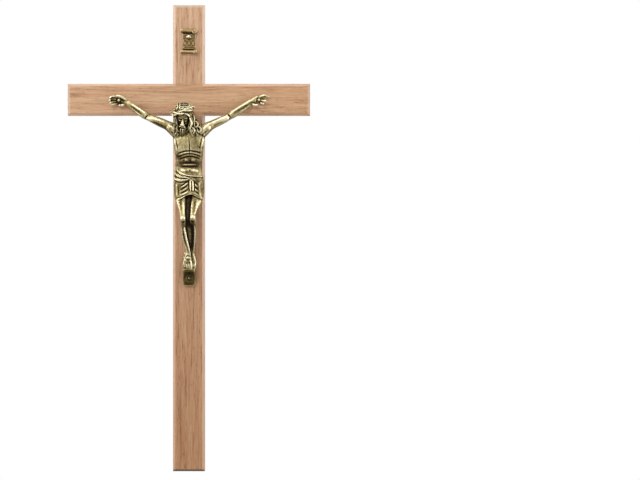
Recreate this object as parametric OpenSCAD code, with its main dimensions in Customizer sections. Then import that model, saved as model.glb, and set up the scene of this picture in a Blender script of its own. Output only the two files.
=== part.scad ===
// Wall crucifix: a beech cross of two halved bars, a cast brass figure on nails, a small
// scroll plate above the head and a ring hanger on the back.
// Millimetres. +Z is up and the front faces -Y. The origin lies on the back face, on the
// wall side, where the centre lines of the two bars cross.

/* [Cross] */
// Full height of the upright
cross_h = 250; // [240:1:270]
// Full width of the crossbar
cross_w = 130; // [125:1:150]
// Length of the upright above the crossbar's centre line
head_arm = 50.7; // [50:0.1:56]
// Width of both bars
bar_w = 17; // [16:0.5:20]
// Thickness of both bars
bar_t = 9; // [8.5:0.5:12]
// Bevel along the front edges
bevel = 1.3; // [0.5:0.1:2]
// Small bevel along the back edges
back_bevel = 0.4; // [0.2:0.1:0.8]

/* [Figure] */
// Height from the crossbar's centre line to the underside of the foot rest
figure_h = 100; // [90:1:104]
// Gap between the figure's feet and the foot rest
seat_gap = 0.2; // [0.1:0.05:0.4]

/* [Foot rest] */
// Width of the foot rest
rest_w = 6.5; // [6:0.1:8]
// How far the foot rest stands out from the wood
rest_out = 5.6; // [4.5:0.1:6.5]
// Thickness of the plate behind the feet
rest_plate_t = 0.9; // [0.6:0.1:1.2]

/* [Title scroll] */
// Width of the scroll plate
scroll_w = 8.7; // [8:0.1:11]
// Height of the scroll plate between the centres of its rolls
scroll_h = 11; // [9:0.1:13]
// Thickness of the scroll plate
scroll_t = 1.1; // [0.8:0.1:1.5]
// Radius of the rolled ends
roll_r = 1.3; // [0.9:0.1:1.5]
// Height of the scroll's middle above the crossbar's centre line
scroll_z = 31.3; // [29:0.1:36]

/* [Nails] */
// Radius of a nail's shank
nail_r = 0.55; // [0.4:0.05:0.7]
// How deep the nails go into the wood
nail_bite = 4; // [3:0.5:4.5]
// Head radius of the nails in the hands
hand_head_r = 0.95; // [0.8:0.05:1.2]
// Head radius of the nail through the feet
foot_head_r = 1.3; // [1:0.05:1.6]
// Head radius of the nail in the foot rest
rest_head_r = 0.9; // [0.7:0.05:1.1]
// Head radius of the nail in the scroll
title_head_r = 1.4; // [1:0.05:1.6]
// Height of a nail's domed head, as a share of its radius
dome_share = 0.62; // [0.4:0.02:0.8]
// Radial gap between a nail and its hole
nail_gap = 0.05; // [0.03:0.01:0.1]
// Radial gap between a nail's head and the seat cut round it
head_gap = 0.15; // [0.1:0.05:0.3]

/* [Hanger] */
// Height of the hanger's hinge above the crossbar's centre line
hinge_z = 36; // [30:0.5:38]
// Thickness of the strap's sheet
strap_t = 0.6; // [0.5:0.05:0.8]
// Width of the strap
strap_w = 6; // [5:0.5:6.5]
// Length of the strap below the hinge
strap_l = 10.5; // [10:0.5:13]
// Radius of the ring's wire
ring_wire_r = 0.6; // [0.5:0.05:0.7]
// Radial gap between the wire and the rolled eye
hinge_gap = 0.05; // [0.02:0.01:0.08]
// Half the ring's width, to the middle of the wire
ring_half_w = 4.6; // [4.4:0.1:5]
// Length of the ring's straight sides
ring_side_l = 4.8; // [4.5:0.1:6]
// Gap between the leaning ring's end and the wood
ring_lean_gap = 0.3; // [0.2:0.05:0.4]
// Radius of the screw's shank
screw_r = 0.9; // [0.7:0.05:1.1]
// Head radius of the screw
screw_head_r = 2; // [1.6:0.1:2.3]
// Height of the screw's head
screw_head_h = 1; // [0.8:0.1:1.3]
// Length of the screw below its head
screw_l = 5; // [4:0.1:5.2]
// Width of the screw's slot
slot_w = 0.5; // [0.4:0.05:0.7]

/* [Hidden] */

$fn = 64;
// How far each cut runs past the face that it opens
overrun = 1;
beech = [0.80, 0.64, 0.49];
antique_brass = [0.62, 0.56, 0.34];
dark_brass = [0.36, 0.31, 0.19];
plated_steel = [0.72, 0.70, 0.64];

// Cross
foot_arm = cross_h - head_arm;
lap_t = bar_t / 2;
front_y = -bar_t;

// Every share of the figure counts in hundredths of figure_h. A place on the figure is
// [x, z, out], where out is the distance from the front of the wood.
fig = figure_h / 100;

function place(p) = [p[0] * fig, front_y - p[2] * fig, p[1] * fig];

// A limb is rows of [x, z, out, half width, half depth]. Its sections are ellipses that
// stand square to its path in the front view and lie level with the wood in depth.
torso_shares = [
    [-0.8, -12.5, 7.6, 2.2, 2.4],
    [-0.5, -14.6, 6.6, 4.6, 3.0],
    [-0.1, -16.4, 5.8, 8.3, 3.6],
    [0.2, -19.0, 5.6, 8.6, 4.3],
    [0.3, -22.0, 5.7, 8.3, 4.6],
    [0.3, -25.0, 5.7, 8.0, 4.5],
    [0.3, -28.0, 5.5, 7.6, 4.2],
    [0.2, -31.5, 5.2, 7.2, 3.7],
    [0.1, -35.0, 5.0, 6.9, 3.4],
    [0.1, -38.0, 5.1, 7.13, 3.5],
    [0.2, -41.5, 5.3, 7.45, 3.7],
    [0.3, -45.5, 5.6, 7.6, 3.9],
    [0.3, -50.0, 6.0, 7.6, 4.0],
    [0.4, -53.0, 6.4, 6.6, 3.8]
];
left_arm_shares = [
    [-5.5, -18.6, 5.7, 3.2, 3.2],
    [-8.7, -15.7, 5.8, 2.95, 3.1],
    [-11.2, -14.1, 5.4, 2.45, 2.7],
    [-13.8, -12.8, 5.0, 2.4, 2.5],
    [-17.6, -11.2, 4.5, 2.15, 2.2],
    [-21.1, -9.8, 4.1, 1.85, 1.9],
    [-23.8, -8.2, 3.8, 2.0, 1.9],
    [-26.7, -6.3, 3.3, 1.9, 1.7],
    [-29.6, -4.2, 2.7, 1.6, 1.4],
    [-32.2, -2.4, 2.1, 1.4, 1.15],
    [-34.4, -1.4, 1.5, 1.9, 1.1],
    [-36.6, -0.8, 1.2, 2.35, 1.1],
    [-38.8, -0.5, 1.2, 2.2, 1.05],
    [-39.9, -0.5, 1.3, 1.4, 0.7]
];
right_arm_shares = [
    [5.8, -19.0, 5.7, 3.2, 3.2],
    [9.0, -15.9, 5.8, 2.95, 3.1],
    [11.8, -14.0, 5.4, 2.4, 2.7],
    [15.1, -12.6, 5.0, 2.2, 2.4],
    [18.1, -11.1, 4.5, 2.1, 2.2],
    [20.9, -9.8, 4.1, 1.9, 1.9],
    [23.7, -7.8, 3.8, 2.15, 1.9],
    [27.4, -5.3, 3.2, 2.1, 1.7],
    [30.8, -3.0, 2.6, 1.85, 1.4],
    [33.4, -1.4, 2.0, 1.6, 1.15],
    [35.2, -0.8, 1.5, 1.95, 1.1],
    [37.2, -0.3, 1.2, 2.3, 1.1],
    [39.0, 0.0, 1.2, 2.0, 1.05],
    [40.0, 0.1, 1.3, 1.3, 0.7]
];
left_leg_shares = [
    [-3.4, -45.0, 5.6, 3.9, 3.7],
    [-4.2, -50.0, 6.6, 3.5, 3.6],
    [-4.35, -54.0, 7.8, 2.7, 3.2],
    [-3.65, -58.5, 9.9, 2.0, 2.7],
    [-2.9, -62.3, 11.7, 1.65, 2.3],
    [-2.45, -65.0, 12.4, 1.6, 2.0],
    [-2.5, -68.0, 11.4, 1.3, 1.8],
    [-2.05, -72.6, 9.8, 1.4, 2.0],
    [-1.4, -76.0, 8.8, 1.2, 1.7],
    [-0.6, -79.5, 7.8, 1.0, 1.3],
    [-0.1, -82.4, 7.0, 1.05, 1.3],
    [-0.3, -84.9, 6.1, 1.65, 1.45],
    [-0.5, -87.3, 5.4, 2.0, 1.2],
    [-0.6, -88.9, 5.0, 1.8, 0.9]
];
right_leg_shares = [
    [4.0, -45.0, 5.6, 3.9, 3.7],
    [4.6, -50.0, 6.6, 3.6, 3.6],
    [4.6, -54.0, 7.6, 3.0, 3.2],
    [3.2, -59.0, 9.6, 2.4, 2.7],
    [2.4, -62.8, 11.2, 1.9, 2.3],
    [2.4, -65.2, 11.8, 1.9, 2.0],
    [2.5, -68.0, 10.4, 1.8, 1.9],
    [2.4, -72.0, 8.4, 1.85, 2.1],
    [2.2, -76.0, 6.8, 1.6, 1.8],
    [1.6, -79.5, 5.4, 1.25, 1.4],
    [1.5, -82.4, 4.4, 1.15, 1.3],
    [2.0, -85.2, 3.6, 1.55, 1.3],
    [2.4, -87.8, 3.0, 1.6, 1.1],
    [2.5, -89.3, 2.8, 1.3, 0.9]
];
// The casting stays closed between the legs, behind their front surfaces
leg_web_shares = [
    [0.3, -50.0, 5.2, 4.2, 2.6],
    [0.2, -56.0, 5.6, 3.6, 2.4],
    [0.1, -64.0, 7.6, 2.4, 2.6],
    [0.2, -70.0, 6.2, 2.2, 2.2],
    [0.6, -77.0, 4.6, 1.6, 1.8],
    [0.9, -83.0, 3.4, 1.3, 1.4]
];
neck_shares = [
    [-0.4, -16.8, 6.8, 3.4, 3.0],
    [-1.2, -13.6, 8.6, 2.6, 2.7],
    [-2.0, -10.0, 10.4, 2.8, 2.8]
];
// The head bows forwards and leans to the left, and its face is a plain oval
head_shares = [
    [-2.0, -2.1, 10.6, 0.5, 0.5],
    [-2.05, -2.7, 10.7, 2.4, 2.6],
    [-2.1, -4.2, 10.9, 3.7, 4.2],
    [-2.3, -7.0, 11.3, 4.2, 4.9],
    [-2.5, -10.0, 11.6, 4.0, 4.8],
    [-2.8, -13.0, 11.9, 3.4, 4.3],
    [-3.0, -15.4, 12.1, 2.5, 3.5],
    [-3.1, -17.0, 12.2, 1.4, 2.2],
    [-3.15, -17.6, 12.2, 0.5, 0.7]
];
nose_shares = [
    [-2.6, -9.4, 15.8, 0.35, 0.5],
    [-2.7, -10.6, 16.3, 0.45, 0.7],
    [-2.75, -11.7, 16.5, 0.75, 1.0],
    [-2.8, -12.1, 16.1, 0.4, 0.5]
];
beard_shares = [
    [-2.9, -13.4, 12.6, 3.0, 3.6],
    [-3.0, -15.6, 12.8, 2.9, 3.4],
    [-3.2, -17.6, 12.6, 2.0, 2.4],
    [-3.3, -19.2, 12.1, 0.8, 1.0]
];
// Hair: the cap with its parting, then the locks that fall to the shoulders
hair_cap_shares = [
    [-2.1, -1.8, 10.2, 0.6, 0.7],
    [-2.15, -2.5, 10.2, 3.0, 3.2],
    [-2.2, -4.4, 10.1, 4.5, 5.0],
    [-2.3, -7.2, 9.9, 4.9, 5.2],
    [-2.3, -10.5, 9.4, 4.9, 4.4],
    [-2.2, -13.5, 8.8, 4.9, 3.4]
];
lock_shares = [
    [[-6.2, -7.6, 11.4, 0.9, 1.3], [-6.7, -10.6, 11.6, 1.1, 1.3], [-6.6, -13.6, 11.2, 1.2, 1.3],
        [-6.2, -16.6, 10.7, 1.0, 1.1], [-6.6, -19.2, 10.3, 0.9, 0.9], [-6.0, -21.2, 10.2, 0.4, 0.5]],
    [[-5.6, -10.5, 13.0, 0.8, 0.9], [-6.0, -13.6, 12.8, 0.9, 0.9], [-5.6, -16.6, 12.2, 0.9, 0.9],
        [-5.2, -19.4, 11.4, 0.5, 0.6]],
    [[2.0, -7.6, 11.4, 0.9, 1.3], [2.8, -10.4, 11.6, 1.2, 1.3], [2.7, -13.2, 11.4, 1.3, 1.3],
        [3.6, -16.0, 10.9, 1.4, 1.2], [4.6, -18.3, 10.3, 1.1, 0.9], [5.4, -19.8, 10.0, 0.5, 0.5]],
    [[1.2, -9.6, 13.4, 0.8, 0.9], [1.7, -12.6, 13.2, 1.0, 1.0], [1.3, -15.6, 12.6, 1.0, 1.0],
        [2.4, -18.4, 11.4, 0.9, 0.9], [2.9, -20.0, 10.8, 0.5, 0.5]],
    [[2.6, -12.4, 9.8, 1.0, 1.1], [4.4, -14.8, 9.8, 1.2, 1.1], [5.8, -16.4, 10.0, 1.0, 0.9],
        [6.5, -18.2, 9.9, 0.5, 0.5]]
];
// The crown is two canes twisted round each other: centre, half width, half depth, how far
// its front hangs below its back, how far its right end is above its left one
crown_centre_share = [-2.25, -5.6, 10.6];
crown_radius_share = [5.1, 5.6];
crown_dip_share = 1.3;
crown_rise_share = 0.9;
cane_share = 0.46;
cane_twist_share = 0.65;
cane_twists = 4;
crown_steps = 36;
// Each thorn's angle round the crown from the right, and how steeply every other one rises
thorn_angles = [12, 40, 66, 92, 118, 150, 172, 198];
thorn_lift_shares = [0.7, -0.2];
thorn_share = 1.7;
thorn_root_share = 0.34;
thorn_tip_share = 0.08;

// Fingers and toes: base, knuckle, tip, then the radius at the base, which shrinks at each joint
digit_taper_share = 0.15;
left_finger_shares = [
    [[-38.6, 1.3, 1.4], [-41.0, 1.5, 2.5], [-42.2, 0.7, 2.3], 0.56],
    [[-39.0, 0.1, 1.4], [-41.6, 0.1, 2.7], [-42.4, -0.8, 2.5], 0.58],
    [[-38.9, -1.2, 1.4], [-41.2, -1.5, 2.6], [-42.0, -2.1, 2.3], 0.56],
    [[-38.4, -2.2, 1.3], [-40.4, -2.7, 2.3], [-41.4, -3.0, 2.0], 0.48],
    [[-34.6, 0.0, 1.7], [-36.2, 1.3, 2.3], [-38.4, 1.9, 2.3], 0.66]
];
right_finger_shares = [
    [[38.2, 1.3, 1.4], [40.0, 1.9, 2.2], [41.2, 2.0, 2.0], 0.56],
    [[39.0, 0.9, 1.4], [41.4, 1.3, 2.0], [43.1, 1.7, 1.5], 0.56],
    [[39.0, -0.4, 1.4], [40.9, -0.5, 2.4], [41.3, -0.6, 3.2], 0.56],
    [[38.6, -1.5, 1.4], [39.9, -2.0, 2.3], [40.1, -2.1, 3.0], 0.5],
    [[34.2, -1.6, 1.7], [35.4, -2.5, 2.2], [36.6, -2.6, 2.4], 0.68]
];
toe_shares = [
    [[1.0, -87.4, 5.3], [1.3, -89.2, 5.1], [1.4, -90.3, 4.6], 0.52],
    [[0.1, -87.8, 5.4], [0.2, -89.3, 5.2], [0.2, -90.1, 4.7], 0.42],
    [[-0.7, -87.8, 5.4], [-0.8, -89.1, 5.2], [-0.9, -89.9, 4.7], 0.42],
    [[-1.5, -87.4, 5.2], [-1.7, -88.6, 5.0], [-1.8, -89.4, 4.6], 0.4],
    [[-2.1, -86.9, 5.0], [-2.4, -87.9, 4.8], [-2.5, -88.6, 4.4], 0.36],
    [[2.9, -88.0, 3.0], [3.2, -89.4, 3.0], [3.3, -90.2, 2.8], 0.5],
    [[2.1, -88.2, 3.2], [2.2, -89.5, 3.2], [2.2, -90.2, 3.0], 0.42]
];

// Loincloth: a wrap with pleats, a rolled edge, a knot and a hanging end
wrap_shares = [
    [0.6, -40.6, 5.3, 6.7, 3.9],
    [0.5, -42.0, 5.4, 7.4, 4.3],
    [0.35, -45.0, 5.7, 7.9, 4.6],
    [0.3, -48.5, 6.2, 8.15, 4.9],
    [0.35, -51.5, 6.9, 7.9, 5.0],
    [0.4, -53.6, 7.5, 7.2, 4.7]
];
wrap_pleats = 11;
wrap_pleat_share = 0.22;
roll_shares = [
    [-6.3, -38.2, 5.6, 0.9, 1.0],
    [-5.2, -39.8, 8.2, 1.0, 1.0],
    [-2.6, -41.4, 9.7, 1.0, 1.0],
    [0.4, -42.2, 10.2, 1.0, 1.0],
    [3.6, -42.0, 9.8, 1.0, 1.0],
    [6.2, -41.6, 8.2, 1.0, 1.0],
    [7.6, -41.2, 5.8, 0.9, 1.0]
];
knot_share = [0.8, -43.0, 10.4];
knot_radius_share = 1.35;
cloth_end_shares = [
    [1.3, -43.4, 10.6, 0.9, 0.7],
    [1.6, -45.6, 11.2, 1.1, 0.6],
    [2.0, -48.0, 11.3, 1.2, 0.6],
    [2.3, -49.4, 11.2, 0.9, 0.4]
];
// Relief on the trunk: breast and belly, as [x, z, out] and [half sizes]
relief_shares = [
    [[-3.3, -21.0, 7.9], [4.8, 4.2, 2.6]],
    [[4.1, -21.0, 7.9], [4.8, 4.2, 2.6]],
    [[0.7, -37.6, 6.4], [4.6, 3.6, 2.4]]
];

// Nails: where each shank's centre line runs, and how far out its head is seated, as
// [x, z, out] like any place on the figure
left_nail_share = [-37.4, -0.6, 1.9];
right_nail_share = [37.7, -0.4, 1.9];
foot_nail_share = [-0.1, -84.9, 6.9];
// The foot rest's nail is seated this share of the block's depth, on this share of its height
rest_nail_out_share = 0.5;
rest_nail_z_share = 0.56;

// Foot rest, from the plate's top to its underside
rest_x = 0.25 * fig;
rest_plate_z = -84 * fig;
rest_top_z = -90.6 * fig;
rest_lip_z = -91.9 * fig;
rest_heel_z = -99 * fig;
rest_low_z = -figure_h;
rest_heel_out = 1.5 * fig;
rest_corner_r = 1.1 * fig;
rest_nail_z = rest_top_z + (rest_low_z - rest_top_z) * rest_nail_z_share;
rest_nail_out = rest_out * rest_nail_out_share;
rest_nail_place = [rest_x / fig, rest_nail_z / fig, rest_nail_out / fig];

// Title scroll
title_nail_z = scroll_z + scroll_h * 0.2;
title_nail_place = [0, title_nail_z / fig, scroll_t / fig];
// A roll is sunk by this share of its radius, and its ends show a small eye
roll_sink_share = 0.15;
roll_eye_share = 0.4;
roll_eye_depth_share = 0.1;
panel_rim = scroll_w * 0.06;
panel_cut = scroll_t * 0.35;
waist_cut = scroll_w * 0.1;
mark_r = scroll_w * 0.09;
mark_step = scroll_w * 0.24;
mark_z = scroll_z - scroll_h * 0.18;
mark_line = scroll_w * 0.045;
mark_line_step = mark_r * 1.75;
marks = 3;

// Hanger
eye_r = ring_wire_r + hinge_gap;
eye_outer_r = eye_r + strap_t;
eye_lift = 0.05;
hinge_y = eye_outer_r + eye_lift;
ring_l = ring_side_l + ring_half_w;
ring_lean = asin((hinge_y - ring_wire_r - ring_lean_gap) / ring_l);
screw_z = hinge_z - strap_l * 0.62;
slot_depth = screw_head_h * 0.55;

// Sweeps

// How far along its rows, each way, a path's direction is read
slope_step = 0.3;
// The low cone that closes a limb's end stands out by this share of its half width
end_rise_share = 0.25;

// Value between rows b and c of a smooth run a, b, c, d
function blend_rows(a, b, c, d, t) =
    (2 * b + (c - a) * t + (2 * a - 5 * b + 4 * c - d) * t * t
        + (3 * b - a - 3 * c + d) * t * t * t) / 2;

function row_at(rows, s) =
    let(last = len(rows) - 1, i = min(floor(s), last - 1))
    blend_rows(rows[max(i - 1, 0)], rows[i], rows[i + 1], rows[min(i + 2, last)], s - i);

// Direction across the path in the front view
function across(rows, s) =
    let(last = len(rows) - 1,
        d = row_at(rows, min(s + slope_step, last)) - row_at(rows, max(s - slope_step, 0)),
        n = norm([d[0], d[1]]))
    [-d[1] / n, d[0] / n];

function ring_points(row, side, sides, pleats, pleat) =
    [for (k = [0 : sides - 1])
        let(q = 360 * k / sides, swell = pleat * cos(pleats * q), w = row[3] + swell, d = row[4] + swell)
        place([row[0] + w * cos(q) * side[0], row[1] + w * cos(q) * side[1], row[2] + d * sin(q)])];

// Tip of the cone on a limb's end; way is -1 at its first row and 1 at its last
function end_point(rows, s, way) =
    let(row = row_at(rows, s), side = across(rows, s), rise = way * end_rise_share * row[3])
    place([row[0] + rise * side[1], row[1] - rise * side[0], row[2]]);

// Tube through the rows, closed by a low cone at each end
module limb(rows, sides, steps, pleats = 0, pleat = 0) {
    rings = (len(rows) - 1) * steps;
    skin = [for (i = [0 : rings])
        each ring_points(row_at(rows, i / steps), across(rows, i / steps), sides, pleats, pleat)];
    points = concat(skin, [end_point(rows, 0, -1), end_point(rows, len(rows) - 1, 1)]);
    first = len(skin);
    walls = [for (i = [0 : rings - 1], k = [0 : sides - 1])
        let(a = i * sides + k, b = i * sides + (k + 1) % sides)
        each [[a, a + sides, b + sides], [a, b + sides, b]]];
    caps = [for (k = [0 : sides - 1])
        let(m = (k + 1) % sides)
        each [[first, k, m], [first + 1, rings * sides + m, rings * sides + k]]];
    polyhedron(points, concat(walls, caps));
}

// Two joined lengths with round ends: a finger or a toe
module digit(d) {
    for (i = [0, 1])
        hull() {
            translate(place(d[i])) sphere(r = d[3] * fig * (1 - digit_taper_share * i), $fn = 6);
            translate(place(d[i + 1])) sphere(r = d[3] * fig * (1 - digit_taper_share * (i + 1)), $fn = 6);
        }
}

// A soft swelling, with half sizes across, up and out
module swelling(p, half) {
    translate(place(p)) scale([half[0] * fig, half[2] * fig, half[1] * fig]) sphere(r = 1, $fn = 12);
}

// Crown
function crown_row(q, phase) =
    let(t = cane_twists * q + phase, grow = cane_twist_share * cos(t))
    [crown_centre_share[0] + (crown_radius_share[0] + grow) * cos(q),
        crown_centre_share[1] - crown_dip_share * sin(q) + crown_rise_share * cos(q)
            + cane_twist_share * sin(t),
        crown_centre_share[2] + (crown_radius_share[1] + grow) * sin(q)];

module cane(phase) {
    sides = 5;
    points = [for (i = [0 : crown_steps - 1])
        let(q = 360 * i / crown_steps, c = crown_row(q, phase))
        each [for (k = [0 : sides - 1])
            let(a = 360 * k / sides)
            place([c[0] + cane_share * cos(a) * cos(q), c[1] + cane_share * sin(a),
                c[2] + cane_share * cos(a) * sin(q)])]];
    walls = [for (i = [0 : crown_steps - 1], k = [0 : sides - 1])
        let(j = (i + 1) % crown_steps, m = (k + 1) % sides)
        each [[i * sides + k, j * sides + k, j * sides + m], [i * sides + k, j * sides + m, i * sides + m]]];
    polyhedron(points, walls);
}

module thorn(q, lift) {
    root = crown_row(q, 0);
    tip = root + thorn_share * [cos(q), lift, sin(q)];
    hull() {
        translate(place(root)) sphere(r = thorn_root_share * fig, $fn = 6);
        translate(place(tip)) sphere(r = thorn_tip_share * fig, $fn = 4);
    }
}

// Nails, and the cuts that they need

// Dome of radius r on the plane z = 0
module dome(r, h) {
    ball = (r * r + h * h) / (2 * h);
    intersection() {
        translate([0, 0, h - ball]) sphere(r = ball);
        cylinder(r = r + overrun, h = h + overrun);
    }
}

// Turns +Z to the front and places it: p is a place on the figure, z = 0 its out distance
module facing(p) {
    translate(place(p)) rotate([90, 0, 0]) children();
}

module nail(p, head_r) {
    facing(p) {
        dome(head_r, head_r * dome_share);
        translate([0, 0, -p[2] * fig - nail_bite]) cylinder(r = nail_r, h = p[2] * fig + nail_bite);
    }
}

module nail_hole(p) {
    facing(p)
        translate([0, 0, -p[2] * fig - nail_bite])
            cylinder(r = nail_r + nail_gap, h = p[2] * fig + nail_bite + overrun);
}

// Hole for the shank, with a flat seat round the head
module nail_seat(p, head_r) {
    nail_hole(p);
    facing(p) cylinder(r = head_r + head_gap, h = bar_t);
}

// Wood

// Bar lying along X from -left to right, its middle on z = 0, bevelled all round its front
module bar(left, right) {
    length = left + right;
    intersection() {
        translate([-left, 0, 0]) rotate([0, 90, 0])
            linear_extrude(length) bevelled_section(-bar_w / 2, bar_w / 2);
        translate([0, 0, -bar_w / 2])
            linear_extrude(bar_w) bevelled_section(-left, right);
    }
}

module standing_bar() {
    rotate([0, 90, 0]) bar(head_arm, foot_arm);
}

// Outline from the back at y = 0 to the front at y = -bar_t
module bevelled_section(low, high) {
    polygon([
        [low + back_bevel, 0], [low, -back_bevel], [low, bevel - bar_t], [low + bevel, -bar_t],
        [high - bevel, -bar_t], [high, bevel - bar_t], [high, -back_bevel], [high - back_bevel, 0]
    ]);
}

module upright() {
    color(beech)
        difference() {
            standing_bar();
            translate([-bar_w / 2 - overrun, -bar_t - overrun, -bar_w / 2])
                cube([bar_w + 2 * overrun, lap_t + overrun, bar_w]);
            nail_hole(foot_nail_share);
            nail_hole(rest_nail_place);
            nail_hole(title_nail_place);
            translate([0, overrun, screw_z]) rotate([90, 0, 0])
                cylinder(r = screw_r + nail_gap, h = overrun + screw_l - strap_t);
        }
}

// At the crossing its face fills the upright's front too, so the chamfers meet in mitres
module crossbar() {
    color(beech)
        difference() {
            union() {
                bar(cross_w / 2, cross_w / 2);
                intersection() {
                    standing_bar();
                    translate([-bar_w / 2, -bar_t, -bar_w / 2]) cube([bar_w, bar_t, bar_w]);
                }
            }
            translate([-bar_w / 2, -lap_t, -bar_w / 2 - overrun])
                cube([bar_w, lap_t + overrun, bar_w + 2 * overrun]);
            nail_hole(left_nail_share);
            nail_hole(right_nail_share);
        }
}

// Figure

module trunk() {
    limb(torso_shares, 18, 1);
    limb(neck_shares, 10, 1);
    for (r = relief_shares) swelling(r[0], r[1]);
}

module head() {
    limb(head_shares, 14, 1);
    limb(nose_shares, 6, 1);
    limb(beard_shares, 12, 1);
    limb(hair_cap_shares, 16, 1);
    for (rows = lock_shares) limb(rows, 7, 1);
    cane(0);
    cane(180);
    for (i = [0 : len(thorn_angles) - 1]) thorn(thorn_angles[i], thorn_lift_shares[i % 2]);
}

module loincloth() {
    limb(wrap_shares, 44, 2, wrap_pleats, wrap_pleat_share);
    limb(roll_shares, 8, 2);
    swelling(knot_share, [knot_radius_share, knot_radius_share, knot_radius_share]);
    limb(cloth_end_shares, 8, 1);
}

module legs() {
    limb(left_leg_shares, 10, 1);
    limb(right_leg_shares, 10, 1);
    limb(leg_web_shares, 8, 1);
    for (d = toe_shares) digit(d);
}

module arms() {
    limb(left_arm_shares, 10, 1);
    limb(right_arm_shares, 10, 1);
    for (d = left_finger_shares) digit(d);
    for (d = right_finger_shares) digit(d);
}

module corpus() {
    $fn = 20;
    reach = cross_h;
    color(antique_brass)
        difference() {
            union() {
                trunk();
                head();
                loincloth();
                legs();
                arms();
            }
            translate([-reach, front_y, -reach]) cube([2 * reach, reach, 2 * reach]);
            nail_seat(left_nail_share, hand_head_r);
            nail_seat(right_nail_share, hand_head_r);
            nail_seat(foot_nail_share, foot_head_r);
            rest_body(seat_gap);
        }
}

// Nails
module left_hand_nail() {
    color(dark_brass) nail(left_nail_share, hand_head_r);
}

module right_hand_nail() {
    color(dark_brass) nail(right_nail_share, hand_head_r);
}

module foot_nail() {
    color(antique_brass) nail(foot_nail_share, foot_head_r);
}

module foot_rest_nail() {
    color(dark_brass) nail(rest_nail_place, rest_head_r);
}

module title_nail() {
    color(antique_brass) nail(title_nail_place, title_head_r);
}

// Foot rest, grown by a gap all round where it is used as a cut
module rest_body(gap) {
    intersection() {
        translate([rest_x - rest_w / 2 - gap, 0, 0]) rotate([90, 0, 90])
            linear_extrude(rest_w + 2 * gap)
                polygon([
                    [front_y, rest_plate_z + gap],
                    [front_y - rest_plate_t - gap, rest_plate_z + gap],
                    [front_y - rest_plate_t - gap, rest_top_z + gap],
                    [front_y - rest_out - gap, rest_top_z + gap],
                    [front_y - rest_out - gap, rest_lip_z - gap],
                    [front_y - rest_heel_out - gap, rest_heel_z - gap],
                    [front_y - rest_heel_out - gap, rest_low_z - gap],
                    [front_y, rest_low_z - gap]
                ]);
        translate([rest_x, front_y, 0]) rotate([90, 0, 0])
            linear_extrude(rest_out + gap + overrun) rest_outline(rest_w / 2 + gap, gap);
    }
}

module rest_outline(half, gap) {
    low = rest_low_z - gap;
    high = rest_plate_z + gap;
    translate([-half, low + rest_corner_r]) square([2 * half, high - low - rest_corner_r]);
    translate([rest_corner_r - half, low]) square([2 * (half - rest_corner_r), rest_corner_r]);
    for (s = [-1, 1])
        translate([s * (half - rest_corner_r), low + rest_corner_r]) circle(r = rest_corner_r);
}

module foot_rest() {
    color(dark_brass)
        difference() {
            rest_body(0);
            nail_hole(foot_nail_share);
            nail_seat(rest_nail_place, rest_head_r);
        }
}

// Scroll plate

module scroll_outline() {
    half_w = scroll_w / 2 - waist_cut;
    translate([-half_w, -scroll_h / 2]) square([2 * half_w, scroll_h]);
}

module scroll_roll(z, turn) {
    translate([0, front_y - roll_r * (1 - roll_sink_share), z]) rotate([0, 90 + turn, 0])
        difference() {
            cylinder(r = roll_r, h = scroll_w, center = true);
            for (s = [-1, 1])
                translate([0, 0, s * scroll_w / 2])
                    cylinder(r = roll_r * roll_eye_share, h = scroll_w * roll_eye_depth_share, center = true);
        }
}

module title_scroll() {
    color(antique_brass)
        difference() {
            union() {
                translate([0, front_y, scroll_z]) rotate([90, 0, 0])
                    linear_extrude(scroll_t) scroll_outline();
                scroll_roll(scroll_z + scroll_h / 2, 2);
                scroll_roll(scroll_z - scroll_h / 2, 1);
            }
            translate([-scroll_w, front_y, scroll_z - scroll_h])
                cube([2 * scroll_w, bar_t, 2 * scroll_h]);
            translate([panel_rim - scroll_w / 2 + waist_cut, front_y - scroll_t - overrun,
                    mark_z - mark_line_step])
                cube([scroll_w - 2 * (panel_rim + waist_cut), panel_cut + overrun, 2 * mark_line_step]);
            nail_hole(title_nail_place);
        }
    color(antique_brass)
        for (i = [0 : marks - 1])
            translate([(i - (marks - 1) / 2) * mark_step, front_y - scroll_t + panel_cut, mark_z])
                rotate([90, 0, 0]) cylinder(r = mark_r, h = panel_cut, $fn = 4);
}

// Hanger

module hanger_strap() {
    color(plated_steel)
        difference() {
            union() {
                translate([-strap_w / 2, 0, hinge_z - strap_l]) cube([strap_w, strap_t, strap_l]);
                translate([0, hinge_y, hinge_z]) rotate([0, 90, 0])
                    cylinder(r = eye_outer_r, h = strap_w, center = true);
            }
            translate([0, hinge_y, hinge_z]) rotate([0, 90, 0])
                cylinder(r = eye_r, h = strap_w + overrun, center = true);
            translate([0, -overrun, screw_z]) rotate([-90, 0, 0])
                cylinder(r = screw_r + nail_gap, h = strap_t + 2 * overrun);
        }
}

// Ring with a straight bar in the eye, two sides and a half-round end, leaning on the wood
module hanger_ring() {
    color(plated_steel)
        translate([0, hinge_y, hinge_z]) rotate([ring_lean, 0, 0]) {
            rotate([0, 90, 0]) cylinder(r = ring_wire_r, h = 2 * ring_half_w, center = true);
            for (s = [-1, 1])
                translate([s * ring_half_w, 0, 0]) {
                    sphere(r = ring_wire_r);
                    cylinder(r = ring_wire_r, h = ring_side_l);
                }
            translate([0, 0, ring_side_l]) rotate([90, 0, 0])
                rotate_extrude(angle = 180) translate([ring_half_w, 0]) circle(r = ring_wire_r);
        }
}

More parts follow.
